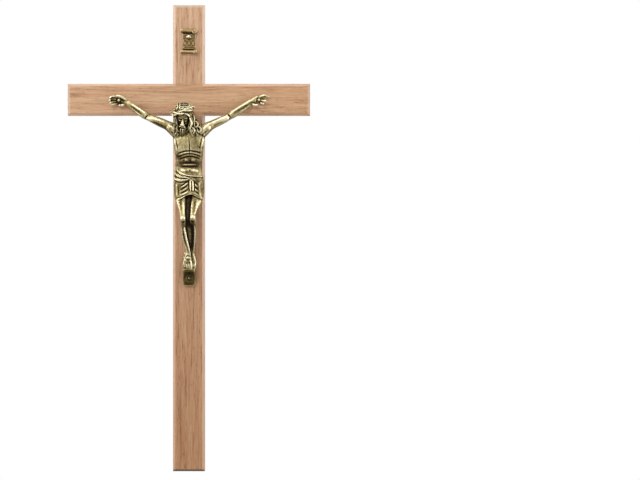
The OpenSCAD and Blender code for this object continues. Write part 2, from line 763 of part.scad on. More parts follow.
module hanger_screw() {
    color(plated_steel)
        translate([0, strap_t, screw_z]) rotate([-90, 0, 0])
            difference() {
                union() {
                    dome(screw_head_r, screw_head_h);
                    translate([0, 0, -screw_l]) cylinder(r = screw_r, h = screw_l);
                }
                translate([-screw_head_r - overrun, -slot_w / 2, screw_head_h - slot_depth])
                    cube([2 * (screw_head_r + overrun), slot_w, slot_depth + overrun]);
            }
}

upright();
crossbar();
corpus();
left_hand_nail();
right_hand_nail();
foot_nail();
foot_rest();
foot_rest_nail();
title_scroll();
title_nail();
hanger_strap();
hanger_ring();
hanger_screw();
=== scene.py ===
import bpy
import math
import numpy as np
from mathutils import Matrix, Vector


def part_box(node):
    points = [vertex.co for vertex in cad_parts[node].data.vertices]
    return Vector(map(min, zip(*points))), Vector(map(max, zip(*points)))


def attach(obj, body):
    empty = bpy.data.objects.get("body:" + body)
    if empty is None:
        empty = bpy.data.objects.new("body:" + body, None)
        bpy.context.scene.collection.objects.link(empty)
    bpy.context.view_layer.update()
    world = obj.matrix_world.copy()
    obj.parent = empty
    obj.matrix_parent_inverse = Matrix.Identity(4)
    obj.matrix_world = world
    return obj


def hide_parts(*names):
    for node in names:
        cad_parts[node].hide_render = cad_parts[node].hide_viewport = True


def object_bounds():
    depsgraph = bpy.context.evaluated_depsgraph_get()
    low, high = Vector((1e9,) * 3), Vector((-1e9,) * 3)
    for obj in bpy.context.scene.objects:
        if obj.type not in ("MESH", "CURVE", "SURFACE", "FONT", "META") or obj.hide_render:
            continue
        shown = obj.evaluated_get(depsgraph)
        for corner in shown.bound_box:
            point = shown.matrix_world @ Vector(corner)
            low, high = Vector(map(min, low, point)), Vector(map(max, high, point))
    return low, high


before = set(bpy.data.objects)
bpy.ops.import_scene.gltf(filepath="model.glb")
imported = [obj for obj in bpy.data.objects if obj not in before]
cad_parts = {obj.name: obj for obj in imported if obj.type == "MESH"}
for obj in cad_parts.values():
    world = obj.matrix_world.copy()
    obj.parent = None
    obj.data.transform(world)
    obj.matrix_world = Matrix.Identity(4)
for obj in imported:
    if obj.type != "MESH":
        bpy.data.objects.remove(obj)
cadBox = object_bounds()

# Wall crucifix: beech cross, cast brass figure, scroll plate, foot rest and ring hanger.
# Metres in the frame: +Z up, the front faces -Y, the back of the wood lies on y = 0.
mm = 0.001
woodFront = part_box("crossbar")[0][1]            # y of the wood's front face
figUnit = -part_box("foot_rest")[0][2] / 100      # a hundredth of the figure's height


# Camera: square on, the picture's frame is 640 x 480
camera = {
    "pixel": 0.5361 * mm,       # what one pixel covers on the wood's front face
    "crossing": (188.8, 99.6),  # where the bars cross, in pixels
    "frame": (640, 480),
    "distance": 2.0,
    "sensor": 36.0,
    "sight": 20,                # how far the camera sees
}


def makeCamera(spec):
    data = bpy.data.cameras.new("camera")
    cam = bpy.data.objects.new("camera", data)
    bpy.context.scene.collection.objects.link(cam)
    width, height = spec["frame"]
    data.sensor_width = spec["sensor"]
    data.lens = spec["sensor"] * spec["distance"] / (width * spec["pixel"])
    data.clip_end = spec["sight"]
    cam.location = (
        (width / 2 - spec["crossing"][0]) * spec["pixel"],
        woodFront - spec["distance"],
        (spec["crossing"][1] - height / 2) * spec["pixel"],
    )
    cam.rotation_euler = (math.radians(90), 0, 0)
    bpy.context.scene.camera = cam


makeCamera(camera)
print("camera set")


# Light: a large soft box above and to the left, a weaker one at each side and above, and a
# pale floor
studio = {
    "floorDrop": 0.45,          # floor below the foot of the cross
    "floorSize": 3.2,
    "floor": "E9E7E3",
    "floorGlow": 0.5,           # what the floor adds for the camera alone
    "ambient": 0.30,
    "boxes": [                  # place, aim, size, watts
        ((-0.45, -1.10, 0.75), (0.0, 0.0, -0.02), 0.50, 7.2),
        ((-0.95, -0.22, 0.12), (0.0, 0.0, -0.05), 0.50, 5.2),
        ((0.95, -0.22, 0.02), (0.0, 0.0, -0.05), 0.50, 5.2),
        ((0.0, -0.22, 0.95), (0.0, 0.0, -0.05), 0.45, 3.3),
    ],
}


def toLinear(hexColour):
    # sRGB hex to linear light
    parts = [int(hexColour[i:i + 2], 16) / 255 for i in (0, 2, 4)]
    return [p / 12.92 if p <= 0.04045 else ((p + 0.055) / 1.055) ** 2.4 for p in parts] + [1.0]


def addNode(tree, kind, inputs=(), **settings):
    # one shader node: its inputs by name, or in order, each a value, a socket or a node whose
    # first output feeds it
    node = tree.nodes.new("ShaderNode" + kind)
    for key, value in settings.items():
        setattr(node, key, value)
    for key, value in inputs.items() if isinstance(inputs, dict) else enumerate(inputs):
        if isinstance(value, bpy.types.Node):
            value = value.outputs[0]
        if isinstance(value, bpy.types.NodeSocket):
            tree.links.new(value, node.inputs[key])
        else:
            node.inputs[key].default_value = value
    return node


def newMaterial(name):
    material = bpy.data.materials.new(name)
    material.use_nodes = True
    material.node_tree.nodes.clear()
    return material, material.node_tree


def makeWorld(ambient):
    # dim for the object's light, white wherever the camera, a gloss or clear glass sees it
    world = bpy.data.worlds.new("studio")
    bpy.context.scene.world = world
    world.use_nodes = True
    tree = world.node_tree
    tree.nodes.clear()
    path = addNode(tree, "LightPath").outputs
    seen = path["Is Camera Ray"]
    for ray in ("Is Glossy Ray", "Is Transmission Ray"):
        seen = addNode(tree, "Math", (seen, path[ray]), operation="MAXIMUM")
    around = addNode(tree, "Background", {"Color": (1, 1, 1, 1), "Strength": ambient})
    white = addNode(tree, "Background", {"Color": (1, 1, 1, 1), "Strength": 1.0})
    mixed = addNode(tree, "MixShader", (seen, around, white))
    addNode(tree, "OutputWorld", {"Surface": mixed})


def makeFloor(spec):
    half = spec["floorSize"] / 2
    low = cadBox[0][2] - spec["floorDrop"]
    mesh = bpy.data.meshes.new("floor")
    corners = [(-half, -half, low), (half, -half, low), (half, half, low), (-half, half, low)]
    mesh.from_pydata(corners, [], [(0, 1, 2, 3)])
    floor = bpy.data.objects.new("floor", mesh)
    bpy.context.scene.collection.objects.link(floor)
    # painted board, matt: the camera sees it near white, with the soft shadow on it
    paint, tree = newMaterial("mattPaintedBoard")
    path = addNode(tree, "LightPath").outputs
    glow = addNode(tree, "Math", (path["Is Camera Ray"], spec["floorGlow"]),
                   operation="MULTIPLY")
    shader = addNode(tree, "BsdfPrincipled", {
        "Base Color": toLinear(spec["floor"]), "Roughness": 0.9,
        "Emission Color": (1, 1, 1, 1), "Emission Strength": glow})
    addNode(tree, "OutputMaterial", {"Surface": shader})
    mesh.materials.append(paint)


def makeStudio(spec):
    bpy.context.scene.view_settings.view_transform = "Standard"
    makeWorld(spec["ambient"])
    for i, (place, aim, size, watts) in enumerate(spec["boxes"]):
        lamp = bpy.data.lights.new("softBox%d" % i, "AREA")
        lamp.shape = "SQUARE"
        lamp.size = size
        lamp.energy = watts
        holder = bpy.data.objects.new(lamp.name, lamp)
        bpy.context.scene.collection.objects.link(holder)
        holder.location = place
        holder.visible_camera = False
        x, y, z = np.subtract(aim, place)
        holder.rotation_euler = (math.atan2(math.hypot(x, y), -z), 0, math.atan2(-x, y))
    makeFloor(spec)


makeStudio(studio)
print("studio set")


# Surfaces. A place on the figure is [x, z, out] in hundredths of its height, where out is
# the distance from the front of the wood.


def toFrame(points):
    # [x, z, out] in figure units to metres in the frame
    p = np.asarray(points, float)
    return np.stack([p[..., 0] * figUnit, woodFront - p[..., 2] * figUnit, p[..., 1] * figUnit], -1)


def toFigure(points):
    # metres in the frame back to [x, z, out] in figure units
    return np.stack([points[:, 0], points[:, 2], woodFront - points[:, 1]], -1) / figUnit


def smoothRun(rows, steps):
    # Catmull-Rom run through the rows, each span cut into equal steps
    r = np.asarray(rows, float)
    padded = np.vstack([2 * r[0] - r[1], r, 2 * r[-1] - r[-2]])
    s = np.linspace(0, len(r) - 1, (len(r) - 1) * steps + 1)
    i = np.minimum(s.astype(int), len(r) - 2)
    t = (s - i)[:, None]
    a, b, c, d = padded[i], padded[i + 1], padded[i + 2], padded[i + 3]
    return 0.5 * (2 * b + (c - a) * t + (2 * a - 5 * b + 4 * c - d) * t ** 2
                  + (3 * b - a - 3 * c + d) * t ** 3)


def unit(v):
    return v / np.maximum(np.linalg.norm(v, axis=-1, keepdims=True), 1e-12)


def closedTube(rings, loop=False):
    # rings is an array (rings, sides, 3): quads between them, and a fan to a pole at each
    # end, or quads back to the first ring where the tube is a loop
    n, sides, _ = rings.shape
    i, k = np.meshgrid(np.arange(n if loop else n - 1), np.arange(sides), indexing="ij")
    j, m = (k + 1) % sides, (i + 1) % n
    quads = np.stack([i * sides + k, i * sides + j, m * sides + j, m * sides + k], -1).reshape(-1, 4)
    points = rings.reshape(-1, 3)
    if loop:
        return points, quads, np.zeros((0, 3), int)
    k = np.arange(sides)
    j, last, pole = (k + 1) % sides, (n - 1) * sides, np.full(sides, n * sides)
    fans = np.concatenate([np.stack([j, k, pole], -1), np.stack([k + last, j + last, pole + 1], -1)])
    return np.concatenate([points, rings[0].mean(0)[None], rings[-1].mean(0)[None]]), quads, fans


def limb(rows, steps=8, sides=28, power=2.0):
    # superellipse sections carried along a path: a row is [x, z, out, half width, half depth
    # in front, half depth behind], and the sections stand square to the path in the front view
    run = smoothRun(rows, steps)
    d = unit(np.gradient(run[:, :2], axis=0))
    side = np.stack([-d[:, 1], d[:, 0]], -1)
    q = np.linspace(0, 2 * math.pi, sides, endpoint=False)
    c, s = np.cos(q), np.sin(q)
    across = np.sign(c) * np.abs(c) ** (2 / power)
    deep = np.sign(s) * np.abs(s) ** (2 / power)
    depth = np.where(s > 0, run[:, 4:5], run[:, 5:6]) * deep
    width = run[:, 3:4] * across
    return closedTube(np.stack([run[:, 0:1] + width * side[:, 0:1],
                                run[:, 1:2] + width * side[:, 1:2], run[:, 2:3] + depth], -1))


def tube(rows, steps=6, sides=12, flute=0.0, flutes=5, turns=0.0):
    # round tube through rows of [x, z, out, radius] with a blunt nose at each end; flutes
    # swell and sink its radius round the section and wind along it by some turns
    run = smoothRun(rows, steps)
    path, radius = run[:, :3], run[:, 3]
    d = unit(np.gradient(path, axis=0))
    side = unit(np.cross(d, np.where(np.abs(d[:, 2:]) < 0.9, [[0.0, 0.0, 1.0]], [[1.0, 0.0, 0.0]])))
    other = np.cross(side, d)
    reach = np.array([0.95, 0.5, 0.12])             # how far each nose ring lies beyond the end
    path = np.concatenate([path[0] - d[0] * radius[0] * reach[:, None], path,
                           path[-1] + d[-1] * radius[-1] * reach[::-1, None]])
    shrink = np.sqrt(1 - reach ** 2)
    radius = np.concatenate([radius[0] * shrink, radius, radius[-1] * shrink[::-1]])
    side, other = (np.concatenate([np.repeat(v[:1], 3, 0), v, np.repeat(v[-1:], 3, 0)])
                   for v in (side, other))
    q = np.linspace(0, 2 * math.pi, sides, endpoint=False)[None, :]
    s = np.linspace(0, 1, len(path))[:, None]
    r = radius[:, None] * (1 + flute * np.cos(flutes * q + 2 * math.pi * turns * s))
    return closedTube(path[:, None] + r[..., None] * (np.cos(q)[..., None] * side[:, None]
                                                      + np.sin(q)[..., None] * other[:, None]))


def blob(centre, half, turn=0.0, rings=18, sides=28):
    # ellipsoid with half sizes across, up and out, turned in the front view by some degrees
    v = np.linspace(0.04, math.pi - 0.04, rings)[:, None]
    q = np.linspace(0, 2 * math.pi, sides, endpoint=False)[None, :]
    a = half[0] * np.sin(v) * np.cos(q)
    b = half[1] * np.cos(v) * np.ones_like(q)
    c = half[2] * np.sin(v) * np.sin(q)
    t = math.radians(turn)
    return closedTube(np.stack([centre[0] + a * math.cos(t) - b * math.sin(t),
                                centre[1] + a * math.sin(t) + b * math.cos(t), centre[2] + c], -1))


def joined(parts):
    # several closed shells as one mesh in metres, each with its faces outwards
    allPoints, allFaces, count = [], [], 0
    for points, quads, fans in parts:
        metres = toFrame(points)
        tris = np.concatenate([quads[:, [0, 1, 2]], quads[:, [0, 2, 3]], fans])
        a, b, c = (metres[tris[:, i]] for i in range(3))
        if np.einsum("ij,ij->i", a, np.cross(b, c)).sum() < 0:
            quads, fans = quads[:, ::-1], fans[:, ::-1]
        allPoints.append(metres)
        allFaces += (quads + count).tolist() + (fans + count).tolist()
        count += len(points)
    return np.concatenate(allPoints), allFaces


def makeMesh(name, points, faces):
    mesh = bpy.data.meshes.new(name)
    mesh.from_pydata(np.asarray(points).tolist(), [], faces)
    mesh.update()
    return mesh


def castAsOne(name, parts, voxel):
    # the shells fused into one closed skin of even quads
    pattern = makeMesh(name + "Pattern", *joined(parts))
    blank = bpy.data.objects.new(name + "Pattern", pattern)
    bpy.context.scene.collection.objects.link(blank)
    skin = blank.modifiers.new("skin", "REMESH")
    skin.mode = "VOXEL"
    skin.voxel_size = voxel
    skin.adaptivity = 0.0
    mesh = bpy.data.meshes.new_from_object(blank.evaluated_get(bpy.context.evaluated_depsgraph_get()))
    mesh.name = name
    bpy.data.objects.remove(blank)
    bpy.data.meshes.remove(pattern)
    return mesh


def readMesh(mesh):
    points = np.empty(len(mesh.vertices) * 3)
    mesh.vertices.foreach_get("co", points)
    edges = np.empty(len(mesh.edges) * 2, np.int64)
    mesh.edges.foreach_get("vertices", edges)
    return points.reshape(-1, 3), edges.reshape(-1, 2)


def writeMesh(mesh, points):
    mesh.vertices.foreach_set("co", np.ascontiguousarray(points).ravel())
    mesh.update()


def meshNormals(mesh):
    normals = np.empty(len(mesh.vertices) * 3)
    mesh.vertex_normals.foreach_get("vector", normals)
    return normals.reshape(-1, 3)


def relaxed(points, edges, rounds, amount=0.5):
    # each round moves a point by amount towards the mean of its neighbours
    n = len(points)
    degree = np.bincount(edges.ravel(), minlength=n)[:, None].astype(float)
    for _ in range(rounds):
        mean = np.stack([np.bincount(edges[:, 0], points[edges[:, 1], i], n)
                         + np.bincount(edges[:, 1], points[edges[:, 0], i], n) for i in range(3)], -1)
        points = points + amount * (mean / degree - points)
    return points


def evened(points, edges, rounds, amount=1.0):
    # smoothing that keeps the volume: a step in, then a slightly longer step out
    for _ in range(rounds):
        points = relaxed(points, edges, 1, 0.5 * amount)
        points = relaxed(points, edges, 1, -0.51 * amount)
    return points


def strokeField(a, b, line, width, fade):
    # 1 on a polyline in a plane, falling off as a bell curve of the given width across it;
    # over the share fade of its length it sinks to nothing at each end
    p = np.asarray(line, float)
    if len(p) > 2:
        p = smoothRun(p, 5)
    field = np.zeros(len(a))
    lo, hi = p.min(0) - 3 * width, p.max(0) + 3 * width
    near = np.flatnonzero((a > lo[0]) & (a < hi[0]) & (b > lo[1]) & (b < hi[1]))
    x, y = a[near], b[near]
    best, along = np.full(len(near), 1e9), np.zeros(len(near))
    lengths = np.linalg.norm(np.diff(p, axis=0), axis=1)
    starts, total = np.concatenate([[0], np.cumsum(lengths)]), max(lengths.sum(), 1e-9)
    for k, (u, v) in enumerate(zip(p[:-1], p[1:])):
        uv = v - u
        t = np.clip(((x - u[0]) * uv[0] + (y - u[1]) * uv[1]) / max(uv @ uv, 1e-9), 0, 1)
        gap = (x - u[0] - t * uv[0]) ** 2 + (y - u[1] - t * uv[1]) ** 2
        closer = gap < best
        best = np.where(closer, gap, best)
        along = np.where(closer, (starts[k] + t * lengths[k]) / total, along)
    ends = np.clip(np.minimum(along, 1 - along) / max(fade, 1e-6), 0, 1)
    field[near] = np.exp(-best / width ** 2) * (ends * ends * (3 - 2 * ends) if fade else 1.0)
    return field


def frontView(points):
    # the plane of the front view, and the way out of it
    return toFigure(points)[:, :2], np.array([0.0, -1.0, 0.0])


def carve(mesh, strokes, view=frontView, edge=0.2):
    # moves the skin that faces the view out or in along each stroke: [line, width, height,
    # share of its length that fades at each end]
    points, _ = readMesh(mesh)
    plane, outwards = view(points)
    facing = np.clip((meshNormals(mesh) @ outwards - edge) / (0.75 - edge), 0, 1)
    lift = np.zeros(len(points))
    for line, width, height, *fade in strokes:
        lift += height * strokeField(*plane.T, line, width, *(fade or [0.35]))
    writeMesh(mesh, points + (lift * facing * figUnit)[:, None] * outwards)


def standing(points, reach, cell=0.5):
    # how far each point stands out of the mean front surface round it, in figure units: the
    # front is a grid of the furthest points out, and the mean is a bell curve of that reach
    p = toFigure(points)
    low = p[:, :2].min(0) - 2
    size = ((p[:, :2].max(0) + 2 - low) / cell).astype(int) + 2
    at = (p[:, :2] - low) / cell
    i, j = at.astype(int).T
    f, g = (at - at.astype(int)).T
    front = np.full(size, -1.0)
    np.maximum.at(front, (i, j), p[:, 2])
    filled = front >= 0

    def bell(n):
        gap = np.arange(n)[:, None] - np.arange(n)[None, :]
        return np.exp(-0.5 * (gap * cell / reach) ** 2)

    left, right = bell(size[0]), bell(size[1])
    weight = left @ filled.astype(float) @ right
    mean = (left @ np.where(filled, front, 0) @ right) / np.maximum(weight, 1e-9)
    around = (mean[i, j] * (1 - f) * (1 - g) + mean[i + 1, j] * f * (1 - g)
              + mean[i, j + 1] * (1 - f) * g + mean[i + 1, j + 1] * f * g)
    return p[:, 2] - around


def patinaAndLightLevel(points, spec):
    # the polish by height, then more or less of it along lines in the front view; both carry painted
    # shade and painted highlights as well as patina
    p = toFigure(points)
    level = np.interp(p[:, 1], *spec["patinaAndShade"])
    for line, width, amount in spec.get("paintedLightAndPatina", ()):
        level += amount * strokeField(p[:, 0], p[:, 1], line, width, 0)
    return level


def addRubAndPaintedLight(mesh, level, proud, reliefs):
    # how proud each point is, from 0 in a recess to 1 on a ridge: the wheel that polished the
    # casting reached the proud places and left the patina in the rest; the level it is given adds
    # the painted shade and painted highlights
    points, edges = readMesh(mesh)
    normals = meshNormals(mesh)
    step = np.linalg.norm(points[edges[:, 0]] - points[edges[:, 1]], axis=1).mean()
    total, smooth, done = level, points, 0
    for reach, weight in proud:
        rounds = max(1, int(round((reach * mm / step) ** 2)))
        smooth = relaxed(smooth, edges, rounds - done, 0.9)
        done = rounds
        height = np.einsum("ij,ij->i", points - smooth, normals) / (reach * mm)
        total = total + weight * np.tanh(height * 4) / 4
    for reach, weight in reliefs:
        total = total + weight * np.tanh(standing(points, reach) / reach)
    layer = mesh.attributes.new("rubAndPaintedLight", "FLOAT", "POINT")
    layer.data.foreach_set("value", np.clip(total, 0, 1).astype(np.float32))


def smoothSkin(mesh, rounds, amount=1.0):
    points, edges = readMesh(mesh)
    writeMesh(mesh, evened(points, edges, rounds, amount))


def pressSeats(points, edge=0.24):
    # the casting is cut flat round each nail, no further out than the seat, with a soft edge,
    # and its back lies flat on the wood
    p = toFigure(points)
    for (x, z, out), radius in seats:
        inside = np.clip((radius - np.hypot(p[:, 0] - x, p[:, 1] - z)) / edge + 0.5, 0, 1)
        p[:, 2] -= inside * np.maximum(p[:, 2] - out, 0)
    p[:, 2] = np.maximum(p[:, 2], 0)
    return toFrame(p)


def dressSkin(mesh, spec):
    # what every casting ends with: one light smoothing, the nails' seats and the polish
    level = patinaAndLightLevel(readMesh(mesh)[0], spec)
    smoothSkin(mesh, 1)
    writeMesh(mesh, pressSeats(readMesh(mesh)[0]))
    addRubAndPaintedLight(mesh, level, spec["proud"], spec["relief"])
    return mesh


def finishPiece(name, mesh, material, node):
    # a casting that stands in for a node of the cross
    mesh.materials.clear()
    mesh.materials.append(material)
    mesh.polygons.foreach_set("use_smooth", np.ones(len(mesh.polygons), bool))
    piece = bpy.data.objects.new(name, mesh)
    bpy.context.scene.collection.objects.link(piece)
    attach(piece, "cross")
    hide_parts(node)
    print(name, len(mesh.vertices), "points")


def paint(material, *nodes):
    # a CAD node that is shown as it is gets its material
    for node in nodes:
        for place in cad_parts[node].material_slots:
            place.material = material


def setStops(ramp, stops):
    # a ramp's colours: the two that it has are its ends, and the others go between them
    ends = ramp.color_ramp.elements
    for end, (position, colour) in zip(ends, (stops[0], stops[-1])):
        end.position, end.color = position, toLinear(colour)
    for position, colour in stops[1:-1]:
        ends.new(position).color = toLinear(colour)


def addPatterns(tree, place, patterns):
    # noise in the object's coordinates: each size is in mm along x, y and z
    found = {}
    for key, (size, detail, offset) in patterns.items():
        at = addNode(tree, "Mapping", {
            "Vector": place["Object"], "Location": (offset,) * 3,
            "Scale": tuple(1 / (s * mm) for s in size)})
        found[key] = addNode(tree, "TexNoise", {"Vector": at, "Scale": 1.0, "Detail": detail})
    return found


def addTone(tree, patterns, look):
    # the look's level plus a share of each pattern
    tone = look["level"]
    for key, share in look["shares"].items():
        tone = addNode(tree, "Math", (patterns[key], share, tone), operation="MULTIPLY_ADD")
    return tone


def finishMaterial(tree, look, relief, inputs):
    # a surface with a fine relief, which is given as a strength and a depth in mm
    strength, deep = look["relief"]
    bump = addNode(tree, "Bump", {"Height": relief, "Strength": strength, "Distance": deep * mm})
    shader = addNode(tree, "BsdfPrincipled", {"Normal": bump, **inputs})
    addNode(tree, "OutputMaterial", {"Surface": shader})


# Wood: steamed beech under a thin matt lacquer
# brown tints the wood towards its lower or right end: down the upright it is painted shade where the
# light falls off
boards = {
    "upright": {
        "name": "beechUpright", "axis": "Z", "seed": 0.0, "chamfer": 0.22, "brown": "D6C5AF",
        "tones": ("9A7150", "C19775", "D0A886", "DCB897"),
    },
    "crossbar": {
        "name": "beechCrossbar", "axis": "X", "seed": 31.4, "chamfer": 0.14, "brown": "F7F2EA",
        "tones": ("966B48", "C09470", "D0A681", "DDB794"),
    },
}
beechLook = {
    "grain": {                  # size along the grain and across it in mm, detail, offset
        "bands": (170, 3.4, 2, 0.0),
        "streaks": (18, 0.7, 3, 3.7),
        "fibres": (6, 0.36, 2, 8.1),
        "drift": (70, 7.0, 1, 5.3),
        "spots": (2.6, 0.42, 1, 12.9),
        "warmth": (45, 2.4, 1, 17.3),
    },
    "flat": 1.6,                # how much deeper than wide a fibre is
    "ringStep": 3.3,            # mm between growth lines
    "ringWander": 34.0,
    "ringPower": 4.0,           # how thin a growth line is
    "fleckRange": (0.60, 0.70),
    "level": -0.625,            # the tone is this plus a share of each pattern
    "shares": {"bands": 0.60, "streaks": 1.10, "fibres": 0.75, "rings": -0.17, "flecks": -0.26},
    "positions": (0.08, 0.36, 0.60, 0.86),
    # each tint, then the range of its pattern and the range of its share
    "warm": ("F8E2CE", 0.45, 0.75, 0, 0.45),
    "endGrain": ("6E4D33", 0.5, 0.98, 0, 0.75),
    # a painted highlight on the chamfers
    "chamferHighlight": ("EFE0D2", 0.05, 0.25),
    # painted shade on the chamfer that faces down at the upright's lower end
    "footChamferShade": ("4E3A2A", 0.5, 1.3, 0.85, 0),    # its range is mm above the lower end
    "rough": (0.3, 0.7, 0.44, 0.56),
    "relief": (0.35, 0.05),     # strength, and depth in mm
    "coat": (0.12, 0.38),
}


def beech(spec, look):
    # long soft bands, growth lines that wander, fine streaks and the short dark flecks of the
    # rays; darker where the grain is cut across, and paler on the chamfers as a painted highlight
    material, tree = newMaterial(spec["name"])
    place = addNode(tree, "TexCoord").outputs
    axis = spec["axis"]
    grain = {}
    for key, (along, across, detail, offset) in look["grain"].items():
        deep = across * look["flat"]
        size = (along, deep, across) if axis == "X" else (across, deep, along)
        grain[key] = (size, detail, spec["seed"] + offset)
    grain = addPatterns(tree, place, grain)
    parts = addNode(tree, "SeparateXYZ", (place["Object"],)).outputs
    normal = addNode(tree, "SeparateXYZ", (place["Normal"],)).outputs

    wander = addNode(tree, "Math", (grain["drift"], look["ringWander"]),
                     operation="MULTIPLY")
    turns = 2 * math.pi / (look["ringStep"] * mm)
    phase = addNode(tree, "Math", (parts["Z" if axis == "X" else "X"], turns, wander),
                    operation="MULTIPLY_ADD")
    wave = addNode(tree, "Math", (phase,), operation="SINE")
    wave = addNode(tree, "Math", (wave, 0.5, 0.5), operation="MULTIPLY_ADD")
    grain["rings"] = addNode(tree, "Math", (wave, look["ringPower"]), operation="POWER")
    grain["flecks"] = addNode(tree, "MapRange", (grain["spots"], *look["fleckRange"], 0, 1),
                              interpolation_type="SMOOTHSTEP")
    ramp = addNode(tree, "ValToRGB", (addTone(tree, grain, look),))
    setStops(ramp, list(zip(look["positions"], spec["tones"])))

    # tints over the grain: warm patches, the end grain, a painted highlight on the chamfers, whose
    # normal leans half way to the side, a browner lower or right end, which down the upright is
    # painted shade where the light falls off, and painted shade on the chamfer that faces down at
    # the upright's lower end
    endOn = addNode(tree, "Math", (normal[axis],), operation="ABSOLUTE")
    lean = addNode(tree, "Math", (normal["Y"], -0.7), operation="SUBTRACT")
    lean = addNode(tree, "Math", (lean,), operation="ABSOLUTE")
    low, high = cadBox
    last, first = (low[2], high[2]) if axis == "Z" else (high[0], low[0])
    tints = [(grain["warmth"], look["warm"], "MULTIPLY"), (endOn, look["endGrain"], "MIX"),
             (lean, (*look["chamferHighlight"], spec["chamfer"], 0), "MIX"),
             (parts[axis], (spec["brown"], last, first, 1, 0), "MULTIPLY")]
    if axis == "Z":
        tint, start, end, *shares = look["footChamferShade"]
        tints.append((parts["Z"], (tint, last + start * mm, last + end * mm, *shares), "MIX"))
    colour = ramp.outputs[0]
    for pattern, (tint, *ranges), blend in tints:
        share = addNode(tree, "MapRange", (pattern, *ranges))
        colour = addNode(tree, "Mix", {0: share, 6: colour, 7: toLinear(tint)},
                         data_type="RGBA", blend_type=blend).outputs[2]

    rough = addNode(tree, "MapRange", (grain["streaks"], *look["rough"]))
    relief = addNode(tree, "Math", (grain["streaks"], grain["fibres"]), operation="ADD")
    relief = addNode(tree, "Math", (grain["flecks"], -0.8, relief), operation="MULTIPLY_ADD")
    coat, coatRough = look["coat"]
    finishMaterial(tree, look, relief, {
        "Base Color": colour, "Roughness": rough, "Coat Weight": coat,
        "Coat Roughness": coatRough})
    return material


for node, board in boards.items():
    paint(beech(board, beechLook), node)
print("wood done")


# Metals, each as the stops of its colour from the recesses to the ridges
metals = {
    "antiquedCastBrass": [(0.14, "271D15"), (0.34, "423623"), (0.48, "6A5E40"),
                          (0.62, "90825A"), (0.76, "AFA279"), (0.94, "DAD1B1")],
    "antiquedScrollBrass": [(0.14, "32261A"), (0.34, "55432C"), (0.48, "735D3F"),
                            (0.62, "907952"), (0.76, "A89166"), (0.94, "C6B48C")],
    "blackenedBrass": [(0.14, "120D08"), (0.34, "2B2214"), (0.50, "4E4128"),
                       (0.66, "77683F"), (0.90, "B7A878")],
    "rubbedShadedBrassNail": [(0.2, "241B0F"), (0.55, "86784A"), (0.9, "D2C89A")],
    "rubbedShadedBrassPin": [(0.2, "2A1F13"), (0.55, "8F7E5A"), (0.9, "D9CCAC")],
    "blackenedShadedBrassPin": [(0.2, "19120A"), (0.55, "4E4128"), (0.9, "94855A")],
    "zincPlatedStrap": [(0.32, "8E9294"), (0.68, "BDC0C0")],
    "zincPlatedWire": [(0.32, "969A9C"), (0.68, "C6C8C8")],
}
# A pattern is its size in mm along each axis, its detail and its offset. The tone is the level
# plus a share of each. Rough is a range of the tone, then the roughness at its two ends.
# the figure's attribute that this follows also holds painted shade and painted highlights
castLook = {    # cast brass, blackened and rubbed back: dark brown in the recesses, gold on the ridges
    "patterns": {
        "cloud": ((1.2, 1.2, 1.2), 4, 0), "speck": ((0.9, 0.9, 0.9), 1, 0),
        "grain": ((0.35, 0.35, 0.35), 2, 0),
    },
    "level": -0.32,
    "shares": {"rubAndPaintedLight": 1, "cloud": 0.26, "speck": 0.38},
    "rough": (0.3, 0.75, 0.6, 0.46),
    "reliefOf": "grain", "relief": (0.3, 0.03),
}
# the nail heads' tone by facing: rubbed on the crown, a painted highlight on the upper side and painted
# shade underneath
nailLook = {    # brass nail heads, rubbed on the crown and dark round the rim and underneath
    "patterns": {"cloud": ((0.6, 0.6, 0.6), 4, 0)},
    "level": -0.05,
    "shares": {"up": 0.40, "back": -0.55, "cloud": 0.5},
    "rough": (0, 1, 0.36, 0.36),
    "reliefOf": "cloud", "relief": (0.35, 0.05),
}
zincLook = {    # bright zinc plate on pressed steel: a fine rolled grain up the strap, faint clouds
    "patterns": {"cloud": ((2.2, 2.2, 2.2), 4, 0), "rolled": ((0.12, 0.12, 4.0), 2, 0)},
    "level": 0,
    "shares": {"cloud": 0.6, "rolled": 0.4},
    "rough": (0.35, 0.65, 0.26, 0.42),
    "reliefOf": "rolled", "relief": (0.2, 0.02),
}


def bareMetal(name, look):
    # a metal whose colour and roughness follow its tone; up and back are how far a place faces up
    # or back, so that the top is lighter and the underside darker as painted light and shade, and
    # the attribute is how far the polish went, with painted shade and painted highlights laid in
    material, tree = newMaterial(name)
    place = addNode(tree, "TexCoord").outputs
    patterns = addPatterns(tree, place, look["patterns"])
    if "rubAndPaintedLight" in look["shares"]:
        patterns["rubAndPaintedLight"] = addNode(tree, "Attribute", attribute_name="rubAndPaintedLight").outputs["Fac"]
    if "up" in look["shares"]:
        facing = addNode(tree, "SeparateXYZ", (place["Normal"],)).outputs
        patterns.update(up=facing["Z"], back=facing["Y"])
    tone = addTone(tree, patterns, look)
    ramp = addNode(tree, "ValToRGB", (tone,))
    setStops(ramp, metals[name])
    rough = addNode(tree, "MapRange", (tone, *look["rough"]))
    finishMaterial(tree, look, patterns[look["reliefOf"]], {
        "Base Color": ramp, "Metallic": 1.0, "Roughness": rough})
    return material


antiqueBrass = bareMetal("antiquedCastBrass", castLook)
paint(bareMetal("rubbedShadedBrassNail", nailLook), "left_hand_nail", "right_hand_nail", "foot_nail")
paint(bareMetal("rubbedShadedBrassPin", nailLook), "title_nail")
paint(bareMetal("blackenedShadedBrassPin", nailLook), "foot_rest_nail")
paint(bareMetal("zincPlatedStrap", zincLook), "hanger_strap")
paint(bareMetal("zincPlatedWire", zincLook), "hanger_ring", "hanger_screw")
print("metals done")


# Nail seats: place [x, z, out] and radius, for the hands, the feet and the foot rest
seats = [
    ([-37.4, -0.6, 1.9], 1.1), ([37.7, -0.4, 1.9], 1.1), ([-0.1, -84.9, 6.9], 1.45),
    ([0.25, -95.86, 2.8], 1),
]

